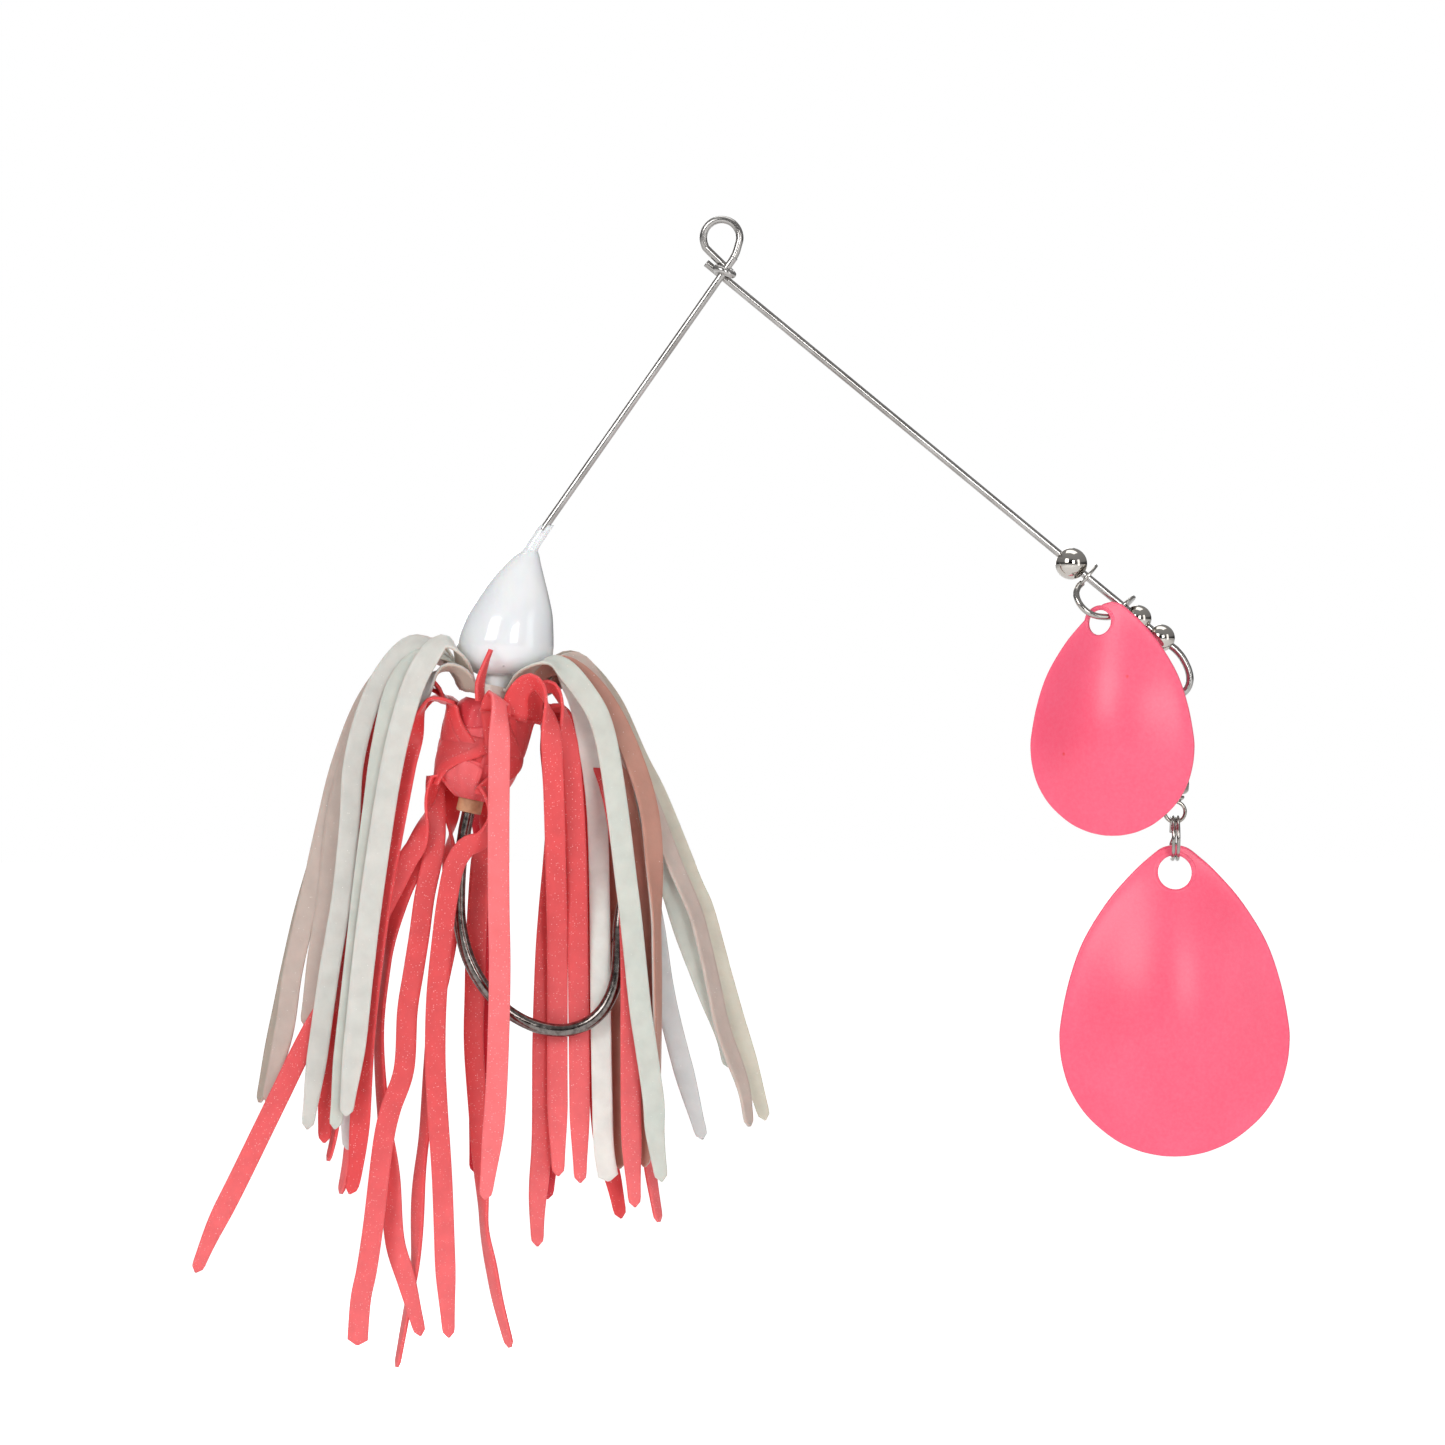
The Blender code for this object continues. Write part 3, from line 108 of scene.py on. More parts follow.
# Each row: ring, turn about the shank (0 faces -Y, 90 faces +X), then the route.
WHITE_STRANDS = [
    (RING_UPPER, 225, [(-31.6, 3.2, -50.0), (-35.6, 3.5, -48.3), (-40.6, 3.8, -53.0), (-44.2, 4.0, -61.0),
        (-47.2, 4.2, -70.0), (-49.8, 4.2, -78.5), (-51.3, 4.0, -85.0), (-52.6, 3.8, -91.7),
        (-53.8, 3.6, -97.6), (-54.7, 3.4, -102.2)]),
    (RING_UPPER, 247, [(-32.2, 1.5, -49.6), (-36.4, 1.7, -48.2), (-41.6, 2.0, -53.8), (-44.9, 2.3, -61.6),
        (-46.8, 2.5, -69.0), (-48.7, 2.5, -77.6), (-50.7, 2.3, -86.6), (-51.7, 2.1, -93.5),
        (-53.8, 1.9, -102.0)]),
    (RING_LOWER, 262, [(-32.6, 0.4, -50.4), (-35.6, 0.4, -49.2), (-40.3, 0.7, -53.6), (-43.6, 0.9, -60.5),
        (-45.6, 1.2, -68.0), (-46.7, 1.4, -77.6), (-48.1, 1.4, -86.6), (-49.2, 1.4, -93.0)]),
    (RING_UPPER, 271, [(-32.7, -0.9, -49.0), (-36.2, -1.4, -47.8), (-39.6, -1.6, -51.2),
        (-42.0, -1.6, -56.5), (-43.4, -1.5, -62.5), (-43.8, -1.5, -69.0), (-44.7, -1.5, -77.6),
        (-46.2, -1.6, -86.6), (-47.5, -1.6, -95.7), (-48.8, -1.6, -105.1)]),
    (RING_LOWER, 286, [(-31.9, -2.2, -50.0), (-35.0, -2.7, -49.2), (-38.2, -2.9, -52.8),
        (-40.0, -2.8, -60.0), (-41.0, -2.7, -67.3), (-42.3, -2.6, -77.6), (-43.3, -2.6, -86.6),
        (-44.1, -2.6, -93.5), (-45.0, -2.6, -101.5), (-45.5, -2.6, -105.0)]),
    (RING_UPPER, 303, [(-30.8, -3.9, -49.2), (-32.8, -4.5, -47.7), (-35.6, -4.6, -51.5),
        (-37.6, -4.4, -57.5), (-39.2, -4.1, -65.0), (-41.1, -3.8, -77.6), (-42.2, -3.8, -86.6),
        (-42.9, -3.8, -93.4), (-43.9, -3.8, -101.5), (-44.1, -3.8, -103.4)]),
    (RING_LOWER, 319, [(-30.2, -3.7, -51.6), (-32.4, -3.2, -50.8), (-35.2, -2.0, -53.4),
        (-37.2, -0.7, -57.8), (-39.5, 0.1, -68.0), (-41.4, 0.4, -80.0), (-42.8, 0.5, -92.0),
        (-43.9, 0.5, -101.0), (-44.1, 0.5, -107.6)]),
    (RING_LOWER, 70, [(-21.4, -1.2, -52.0), (-19.4, -1.1, -50.7), (-17.0, -0.2, -54.2), (-15.5, 0.8, -61.0),
        (-14.7, 1.5, -68.0), (-14.4, 1.9, -78.4), (-14.3, 1.9, -90.4), (-14.1, 1.8, -101.5),
        (-13.9, 1.8, -107.6), (-13.3, 1.8, -111.4)]),
    (RING_LOWER, 150, [(-21.6, 4.6, -53.4), (-18.4, 5.2, -51.8), (-15.8, 5.2, -56.5), (-14.0, 4.8, -64.0),
        (-13.0, 4.2, -73.5), (-12.5, 3.6, -83.2), (-12.4, 3.4, -95.2), (-12.2, 3.2, -104.0),
        (-12.0, 3.2, -110.0)]),
    (RING_UPPER, 38, [(-22.8, -4.4, -51.4), (-19.6, -4.6, -50.0), (-15.8, -4.0, -54.0),
        (-13.8, -3.5, -58.3), (-12.4, -3.0, -66.3), (-11.2, -2.7, -75.9), (-10.6, -2.6, -80.7),
        (-9.6, -2.6, -90.4), (-8.9, -2.6, -95.2), (-8.0, -2.6, -101.5), (-7.8, -2.6, -105.5),
        (-7.0, -2.6, -111.2)]),
    (RING_LOWER, 98, [(-21.0, 0.6, -53.2), (-18.4, 0.8, -52.0), (-15.2, 0.9, -56.0), (-12.4, 0.8, -62.0),
        (-10.8, 0.5, -68.5), (-9.6, 0.2, -75.0), (-8.9, 0.0, -80.7), (-8.4, 0.0, -90.4), (-8.3, 0.0, -97.0),
        (-8.7, 0.0, -102.8), (-9.1, 0.0, -109.6)]),
    (RING_UPPER, 58, [(-21.8, -2.9, -51.9), (-18.8, -2.7, -50.4), (-15.0, -2.2, -53.0),
        (-11.6, -1.7, -58.5), (-8.8, -1.4, -66.3), (-7.9, -1.3, -74.0), (-7.6, -1.2, -85.6),
        (-7.5, -1.2, -101.5), (-7.5, -1.2, -107.6)]),
    (RING_LOWER, 118, [(-20.8, 1.9, -53.8), (-17.6, 2.2, -52.4), (-14.4, 1.8, -57.0), (-11.8, 1.7, -64.0),
        (-10.0, 1.7, -71.2), (-8.0, 1.8, -80.7), (-6.9, 1.9, -88.0), (-5.7, 2.0, -93.6),
        (-3.6, 2.0, -101.5), (-2.2, 2.0, -106.5)]),
    (RING_UPPER, 112, [(-21.0, 2.0, -51.8), (-17.6, 2.4, -50.5), (-14.0, 2.7, -55.2), (-11.0, 2.6, -62.0),
        (-8.6, 2.6, -69.0), (-6.1, 2.5, -76.5), (-4.4, 2.5, -82.0), (-2.5, 2.5, -87.0), (0.0, 2.4, -93.6),
        (0.9, 2.4, -98.0)]),
    (RING_UPPER, 88, [(-20.6, 0.1, -51.3), (-16.8, 0.4, -50.2), (-13.6, 0.8, -54.8), (-10.8, 1.0, -61.5),
        (-8.3, 1.0, -67.0), (-5.7, 1.0, -73.5), (-3.2, 1.0, -79.3), (-2.1, 1.0, -83.2), (-1.0, 1.0, -88.0),
        (0.2, 1.0, -93.5), (2.5, 1.0, -100.0), (3.3, 1.0, -104.9)]),
    (RING_UPPER, 132, [(-21.4, 3.8, -51.4), (-17.4, 4.0, -49.9), (-13.2, 3.9, -54.2), (-9.8, 3.8, -61.5),
        (-7.4, 3.7, -66.3), (-3.5, 3.6, -75.9), (-1.9, 3.5, -79.6), (0.4, 3.5, -88.0), (1.95, 3.5, -93.5),
        (4.4, 3.5, -101.5), (5.2, 3.5, -104.3)]),
]
PINK_STRANDS = [
    (RING_FOOT, 285, [(-35.6, -0.9, -70.8), (-37.0, -0.8, -73.3), (-39.2, -0.7, -77.6),
        (-43.5, -0.6, -85.8), (-48.3, -0.5, -93.5), (-52.3, -0.2, -101.5), (-56.9, 0.2, -110.9),
        (-60.0, 0.4, -117.1), (-62.1, 0.5, -122.1)]),
    (RING_RIM, 268, [(-33.6, 0.0, -52.8), (-35.6, 0.0, -52.0), (-39.0, -0.1, -55.6), (-41.6, -0.2, -62.0),
        (-42.7, 0.0, -69.0), (-43.9, 0.4, -79.9), (-45.1, 0.5, -86.6), (-46.0, 0.4, -95.7),
        (-46.7, 0.4, -102.8), (-46.9, 0.4, -106.8)]),
    (RING_RIM, 252, [(-33.2, 1.7, -53.8), (-35.0, 1.7, -53.4), (-38.4, 1.8, -57.0), (-40.8, 1.9, -63.0),
        (-42.2, 1.9, -70.0), (-43.3, 1.9, -79.0), (-44.2, 1.8, -86.0), (-44.9, 1.7, -95.0),
        (-45.6, 1.6, -104.5), (-46.5, 1.6, -109.0)]),
    (RING_RIM, 234, [(-32.4, 3.3, -54.4), (-34.6, 3.4, -54.6), (-37.4, 3.3, -59.0), (-39.4, 3.1, -67.0),
        (-40.8, 2.9, -77.0), (-41.9, 2.4, -87.0), (-42.9, 2.0, -97.0), (-44.1, 1.8, -107.6),
        (-45.0, 1.7, -112.9)]),
    (RING_RIM, 290, [(-33.4, -2.2, -54.4), (-34.8, -2.4, -54.8), (-36.2, -2.4, -58.6), (-37.8, -2.3, -66.0),
        (-39.6, -2.2, -76.0), (-41.0, -2.1, -86.0), (-42.0, -1.9, -95.0), (-42.6, -1.7, -104.5),
        (-43.2, -1.7, -110.5), (-43.8, -1.7, -112.7)]),
    (RING_FOOT, 243, [(-34.4, 1.2, -70.6), (-36.2, 1.0, -74.2), (-37.5, 0.9, -76.9), (-38.8, 0.9, -80.9),
        (-39.5, 0.9, -85.6), (-40.4, 0.9, -93.5), (-40.1, 0.9, -101.5), (-39.1, 0.8, -110.9),
        (-38.6, 0.7, -118.2), (-37.2, 0.7, -123.1), (-35.5, 0.7, -129.6)]),
    (RING_FOOT, 264, [(-33.8, -0.1, -71.2), (-35.0, -0.5, -77.6), (-35.6, -0.9, -82.1),
        (-36.3, -1.2, -86.6), (-37.0, -1.4, -91.2), (-37.4, -1.5, -98.0), (-39.0, -1.6, -102.8),
        (-39.9, -1.6, -107.1), (-41.0, -1.6, -116.3), (-41.8, -1.6, -121.7), (-42.5, -1.6, -125.2),
        (-42.9, -1.6, -130.5)]),
    (RING_FOOT, 215, [(-32.0, 2.6, -69.6), (-32.2, 2.4, -76.0), (-32.0, 2.3, -82.0), (-32.9, 2.2, -87.0),
        (-33.8, 2.2, -91.0), (-34.5, 2.1, -98.0), (-35.1, 2.0, -105.5), (-35.8, 2.0, -112.0),
        (-36.2, 2.0, -121.0), (-37.1, 2.0, -126.2), (-38.4, 2.0, -133.4)]),
    (RING_FOOT, 20, [(-27.0, -3.6, -68.2), (-28.0, -3.2, -70.8), (-30.0, -2.9, -71.8), (-31.4, -2.6, -74.0),
        (-32.2, -2.4, -77.6), (-32.8, -2.3, -82.1), (-33.5, -2.1, -89.0), (-33.7, -2.0, -95.7),
        (-33.5, -1.9, -101.5), (-32.9, -1.8, -110.9), (-32.5, -1.8, -121.7), (-32.1, -1.8, -129.6)]),
    (RING_FOOT, 180, [(-28.8, 4.4, -68.6), (-27.9, 4.0, -73.0), (-27.9, 3.9, -82.0), (-28.3, 3.9, -92.0),
        (-28.7, 3.8, -102.0), (-29.2, 3.7, -110.5)]),
    (RING_FOOT, 140, [(-27.6, 2.9, -68.2), (-28.4, 2.3, -73.0), (-29.0, 2.2, -82.1), (-29.2, 2.2, -88.9),
        (-29.3, 2.2, -95.7), (-28.6, 2.2, -105.5), (-28.2, 2.2, -113.6), (-28.0, 2.2, -117.4),
        (-27.2, 2.2, -121.7), (-26.4, 2.2, -125.8), (-25.0, 2.2, -131.1)]),
    (RING_RIM, 8, [(-26.4, -6.0, -54.8), (-26.1, -7.0, -54.4), (-26.0, -7.6, -56.6), (-26.0, -7.3, -62.0),
        (-26.1, -6.6, -69.0), (-26.1, -5.8, -78.4), (-26.0, -5.2, -86.0), (-26.2, -4.7, -95.0),
        (-26.6, -4.3, -103.0), (-27.3, -4.0, -109.4), (-27.8, -3.9, -113.2)]),
    (RING_RIM, 104, [(-21.6, 1.4, -54.8), (-20.2, 1.9, -56.2), (-19.5, 2.8, -62.0), (-19.7, 3.0, -70.0),
        (-20.5, 3.0, -79.5), (-20.9, 3.0, -85.6), (-21.2, 3.0, -95.2), (-21.3, 3.0, -106.6),
        (-21.8, 3.0, -114.1), (-21.8, 3.0, -119.2)]),
    (RING_RIM, 150, [(-23.4, 5.4, -55.8), (-21.4, 6.0, -57.0), (-20.2, 5.8, -62.0), (-19.6, 5.2, -75.0),
        (-19.5, 4.8, -90.0), (-19.9, 4.6, -102.0), (-20.7, 4.5, -113.7)]),
    (RING_RIM, 31, [(-24.0, -5.5, -54.2), (-23.2, -6.0, -52.9), (-22.0, -6.7, -52.4), (-20.9, -7.1, -53.7),
        (-20.1, -7.0, -57.2), (-19.8, -6.0, -62.2), (-19.6, -4.2, -68.4), (-19.5, -1.8, -75.0),
        (-19.4, 0.6, -81.5), (-19.4, 1.8, -90.4), (-19.4, 1.7, -100.0), (-19.3, 1.6, -110.8)]),
    (RING_RIM, 56, [(-21.9, -3.9, -54.2), (-20.8, -4.4, -53.0), (-19.5, -4.9, -53.3), (-18.5, -5.0, -56.0),
        (-17.9, -4.5, -60.6), (-17.4, -3.1, -66.6), (-17.1, -1.3, -73.2), (-17.0, 0.7, -80.4),
        (-16.9, 1.7, -90.4), (-16.8, 1.7, -100.0), (-16.7, 1.7, -111.6)]),
    (RING_RIM, 134, [(-21.6, 4.0, -55.2), (-19.4, 4.4, -56.0), (-16.9, 4.5, -62.0), (-15.5, 5.0, -74.0),
        (-14.9, 5.0, -86.0), (-14.7, 4.8, -96.0), (-14.1, 4.7, -106.0), (-12.7, 4.6, -112.0),
        (-11.9, 4.6, -116.0)]),
    (RING_RIM, 90, [(-20.9, 0.0, -55.8), (-19.0, 0.8, -55.6), (-16.6, 1.9, -58.0), (-14.3, 1.3, -61.8),
        (-13.0, 0.3, -65.5), (-12.0, -0.8, -70.5), (-11.1, -1.4, -76.5), (-10.7, -1.3, -85.2),
        (-10.7, -1.1, -94.6), (-10.6, -1.0, -106.4), (-10.2, -1.0, -114.3)]),
    (RING_RIM, 119, [(-21.6, 2.9, -56.8), (-18.8, 3.2, -57.6), (-16.0, 3.2, -60.6), (-14.0, 2.9, -65.5),
        (-12.2, 2.5, -72.0), (-10.6, 2.0, -80.0), (-9.6, 1.7, -90.0), (-8.9, 1.5, -100.0),
        (-8.6, 1.4, -108.4), (-7.4, 1.4, -116.2)]),
]

# Looks of the strands. face: (share of the length, degrees) turns of the flat side away from the
# front; shows: the side that faces the front on the fall; upper: the inner side's colour near the top,
# there a painted shade under the strand's arch.
STRAND_LOOKS = {
    "white_01": {"face": [(0.0, 60), (1.0, 58)], "shows": "inner"},
    "white_02": {"face": [(0.0, 40), (0.35, 20), (1.0, 20)], "shows": "inner", "inner": "blush"},
    "white_03": {"face": [(0.0, 30), (1.0, 25)], "shows": "inner", "inner": "blush"},
    "white_04": {"face": [(0.0, 30), (0.25, 5), (1.0, 0)]},
    "white_05": {"face": [(0.0, 30), (0.25, 8), (1.0, -6)], "outer": "mint"},
    "white_06": {"face": [(0.0, 20), (0.2, 4), (1.0, 4)], "width": 2.7},
    "white_07": {"face": [(0.0, 20), (0.3, 10), (1.0, 10)], "outer": "grey"},
    # white_08's "bright" outer colour is painted light: lighter than the other whites, to make up for the
    # shade that falls on this strand.
    "white_08": {"face": [(0.0, -20), (0.25, -4), (1.0, 6)], "blunt": True, "outer": "bright"},
    "white_09": {"face": [(0.0, -20), (0.3, 20), (1.0, 20)], "shows": "inner", "inner": "salmon"},
    "white_10": {"face": [(0.0, -20), (0.2, -3), (1.0, -4)], "outer": "mint", "width": 2.6},
    "white_11": {"face": [(0.0, -20), (0.3, 25), (1.0, 30)], "shows": "inner", "inner": "salmon"},
    "white_12": {"face": [(0.0, -40), (0.2, -20), (0.45, -25), (0.62, -72), (1.0, -80)],
                 "shows": "inner", "inner": "salmon"},
    "white_13": {"face": [(0.0, -20), (0.25, -20), (0.5, -5), (1.0, 0)], "outer": "grey"},
    "white_14": {"face": [(0.0, -30), (0.3, -8), (1.0, -8)], "outer": "mint"},
    "white_15": {"face": [(0.0, -40), (0.3, -38), (1.0, -52)], "shows": "inner", "inner": "blush"},
    "white_16": {"face": [(0.0, -40), (0.3, -28), (0.6, -22), (1.0, -14)], "shows": "inner",
                 "inner": "cream", "upper": "tan"},
    "pink_02": {"face": [(0.0, 30), (0.3, 10), (1.0, 10)], "shows": "inner"},
    "pink_03": {"face": [(0.0, 50), (0.3, 66), (1.0, 70)], "shows": "inner"},
    "pink_04": {"face": [(0.0, 50), (0.3, 55), (1.0, 58)]},
    "pink_05": {"face": [(0.0, 30), (0.3, 25), (1.0, 12)], "shows": "inner"},
    "pink_06": {"face": [(0.0, 20), (0.25, 35), (0.35, 66), (0.6, 62), (0.74, 20), (1.0, 0)]},
    "pink_07": {"blunt": True},
    "pink_08": {"face": [(0.0, 30), (0.3, 55), (0.62, 58), (0.72, 48), (0.88, 80), (1.0, 76)]},
    # pink_10 and pink_14 show their "dark" inner colour: painted shade, for strands that lie in shadow.
    "pink_10": {"shows": "inner", "inner": "dark"},
    "pink_11": {"face": [(0.0, 0), (0.6, 18), (0.78, 72), (0.86, 60), (1.0, 48)]},
    "pink_12": {"face": [(0.0, 0), (0.75, 0), (1.0, 6)], "width": 2.55, "outer": "light"},
    "pink_13": {"face": [(0.0, -20), (0.25, -18), (1.0, -12)]},
    "pink_14": {"face": [(0.0, -30), (0.3, -10), (1.0, -10)], "shows": "inner", "inner": "dark"},
    "pink_15": {"face": [(0.0, 0), (1.0, 0)], "arch": (6, 16)},
    "pink_16": {"face": [(0.0, 0), (1.0, -4)], "arch": (6, 16)},
    "pink_17": {"face": [(0.0, -30), (0.3, -12), (1.0, -8)], "shows": "inner"},
    "pink_18": {"face": [(0.0, -30), (0.3, -10), (1.0, -4)]},
    "pink_19": {"face": [(0.0, -45), (0.3, -55), (1.0, -58)]},
}
COLOURS = {
    # "bright" is painted light: a lighter white for a strand that lies in shade.
    "bright": (0.85, 0.85, 0.80),
    "white": (0.645, 0.635, 0.59),
    "mint": (0.625, 0.645, 0.585),
    "grey": (0.63, 0.63, 0.625),
    "cream": (0.63, 0.60, 0.50),
    # tan, blush and salmon are painted shade: the colours a white strand's inner side takes in shadow.
    "tan": (0.50, 0.42, 0.35),
    "blush": (0.57, 0.465, 0.41),
    "salmon": (0.50, 0.25, 0.19),
    "pink": (0.76, 0.085, 0.09),
    "light": (0.97, 0.19, 0.20),
    "deep": (0.78, 0.07, 0.075),
    # "dark" is painted shade: a darker red for pink strands that lie in shadow.
    "dark": (0.68, 0.035, 0.055),
}
# A white strand's inner side is "tan", painted shade, unless its look gives another inner colour.
SIDE_COLOURS = {"white": ("white", "tan"), "pink": ("pink", "deep")}
STRAND_WIDTH = 2.45
STRAND_THICK = 0.4
STRAND_RINGS = 110
TIP_TAPER = 9.0                 # length over which a strand narrows towards its tip
TIP_ROUND = 1.1
ROOT_TAPER = 5.0
STRAND_CUP = 0.05               # how far the middle bows out, as a share of the half width
STRAND_EDGE_LIFT = 0.06         # how much paler the edges are
STRAND_START = 0.6               # how far a strand runs straight out of its ring
TIP_FADE = 0.7                  # how far a pink strand pales towards its tip
ROOT_WIDTH = {"white": 1.05, "pink": 1.45}
FREE_ARCH = (2.5, 11.0)         # where a strand turns from its own arch towards the front
UPPER_PART = (0.18, 0.42)       # shares over which the upper colour gives way
# half of a ribbon's cross-section, as shares of the half width and the half thickness
RIBBON_SIDE = [(1.0, 0.0), (0.985, 0.62), (0.93, 1.0), (0.62, 1.0), (0.2, 1.0), (-0.2, 1.0), (-0.62, 1.0),
               (-0.93, 1.0), (-0.985, 0.62)]


# ---------------------------------------------------------------- helpers
def smoothstep(low, high, value):
    t = min(1.0, max(0.0, (value - low) / (high - low)))
    return t * t * (3 - 2 * t)


def read_table(table, share):
    """Smooth value between a table's (share, value) rows."""
    for (s0, v0), (s1, v1) in zip(table, table[1:]):
        if share <= s1:
            return v0 + (v1 - v0) * smoothstep(s0, s1, share)
    return table[-1][1]


def unit(vector):
    return vector / max(1e-12, np.linalg.norm(vector))


def smooth_points(route, count):
    """Catmull-Rom curve through the route's points, cut into evenly spaced points."""
    knots = [np.array(p, float) for p in route]
    knots = [2 * knots[0] - knots[1]] + knots + [2 * knots[-1] - knots[-2]]
    dense = []
    for a, b, c, d in zip(knots, knots[1:], knots[2:], knots[3:]):
        for step in range(24):
            t = step / 24
            dense.append(0.5 * (2 * b + (c - a) * t + (2 * a - 5 * b + 4 * c - d) * t ** 2
                                + (3 * b - a - 3 * c + d) * t ** 3))
    dense.append(knots[-2])
    return even_points(np.array(dense), count)


def even_points(points, count):
    steps = np.linalg.norm(np.diff(points, axis=0), axis=1)
    along = np.concatenate(([0.0], np.cumsum(steps)))
    targets = np.linspace(0.0, along[-1], count)
    return np.stack([np.interp(targets, along, points[:, k]) for k in range(points.shape[1])], axis=1)


def line_length(points):
    return float(np.linalg.norm(np.diff(points, axis=0), axis=1).sum())


def tangents_of(points):
    tangents = np.gradient(points, axis=0)
    return tangents / np.linalg.norm(tangents, axis=1)[:, None]


def carried_normals(points, tangents, first):
    """Normals carried along the points without twisting about them."""
    normal = unit(first - tangents[0] * np.dot(first, tangents[0]))
    normals = [normal]
    for k in range(1, len(points)):
        normal = unit(normal - tangents[k] * np.dot(normal, tangents[k]))
        normals.append(normal)
    return np.array(normals)


def rotated(vector, axis, angle):
    return vector * math.cos(angle) + np.cross(axis, vector) * math.sin(angle)


def angle_about(axis, start, end):
    return math.atan2(np.dot(np.cross(start, end), axis), np.dot(start, end))


def mesh_object(name, verts, faces, body, replaced=(), slot=None, material=None, smooth=True, tints=None):
    """A piece in world millimetres, riding on its body."""
    mesh = bpy.data.meshes.new(name)
    mesh.from_pydata([tuple(float(c) * MM for c in v) for v in verts], [], faces)
    mesh.validate()
    bm = bmesh.new()
    bm.from_mesh(mesh)
    bmesh.ops.recalc_face_normals(bm, faces=bm.faces)
    bm.to_mesh(mesh)
    bm.free()
    mesh.polygons.foreach_set("use_smooth", [smooth] * len(mesh.polygons))
    if tints is not None:
        layer = mesh.color_attributes.new("tint", "FLOAT_COLOR", "POINT")
        layer.data.foreach_set("color", np.array(tints, np.float32).ravel())
    return place(name, mesh, body, replaced, slot, material)


def place(name, data, body, replaced, slot, material):
    item = bpy.data.objects.new(name, data)
    bpy.context.scene.collection.objects.link(item)
    if material:
        data.materials.append(material)
    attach(item, body)
    if replaced:
        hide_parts(*replaced)
    return item


def grid_faces(rows, columns, closed_columns=True, closed_rows=False):
    faces = []
    for i in range(rows if closed_rows else rows - 1):
        for k in range(columns if closed_columns else columns - 1):
            j = (k + 1) % columns
            n = (i + 1) % rows
            faces.append((i * columns + k, i * columns + j, n * columns + j, n * columns + k))
    return faces


def tube_shell(points, radii, sides, first=(0, 1, 0), closed=False):
    """Vertices and faces of a tube along points, with flat or pointed ends."""
    points = np.array(points, float)
    tangents = tangents_of(points)
    normals = carried_normals(points, tangents, np.array(first, float))
    verts = []
    for point, tangent, normal, radius in zip(points, tangents, normals, radii):
        side = np.cross(tangent, normal)
        for k in range(sides):
            turn = TURN * k / sides
            verts.append(point + radius * (normal * math.cos(turn) + side * math.sin(turn)))
    faces = grid_faces(len(points), sides, closed_rows=closed)
    if not closed:
        faces.append(tuple(range(sides)))
        faces.append(tuple((len(points) - 1) * sides + k for k in range(sides)))
    return verts, faces


def tube_object(name, points, radius, sides, body, replaced, slot, material, **options):
    radii = radius if hasattr(radius, "__len__") else [radius] * len(points)
    verts, faces = tube_shell(points, radii, sides, **options)
    return mesh_object(name, verts, faces, body, replaced, slot, material)


def lathe_shell(profile, matrix, segments):
    """A closed outline of (radius, height) points turned about the matrix's Z axis."""
    verts = []
    for k in range(segments):
        turn = TURN * k / segments
        for radius, height in profile:
            verts.append(matrix @ Vector((radius * math.cos(turn), radius * math.sin(turn), height)))
    return verts, grid_faces(segments, len(profile), closed_columns=True, closed_rows=True)


def frame_matrix(origin, x_axis, y_axis, z_axis):
    matrix = Matrix((x_axis, y_axis, z_axis)).transposed().to_4x4()
    matrix.translation = origin
    return matrix


def along_shank(distance):
    return HOOK_TOP + SHANK_DIR * distance


def around_shank(turn):
    return SHANK_SIDE * math.sin(turn) - Vector((0, 1, 0)) * math.cos(turn)


def shank_matrix():
    return frame_matrix(HOOK_TOP, SHANK_SIDE, SHANK_DIR.cross(SHANK_SIDE), SHANK_DIR)


def along_arm(distance):
    return ARM_START + ARM_DIR * distance


def arm_matrix(distance, turn=0.0):
    out = Vector((ARM_DIR.z, 0, -ARM_DIR.x)) * math.cos(turn) + Vector((0, -1, 0)) * math.sin(turn)
    return frame_matrix(along_arm(distance), out, ARM_DIR.cross(out), ARM_DIR)


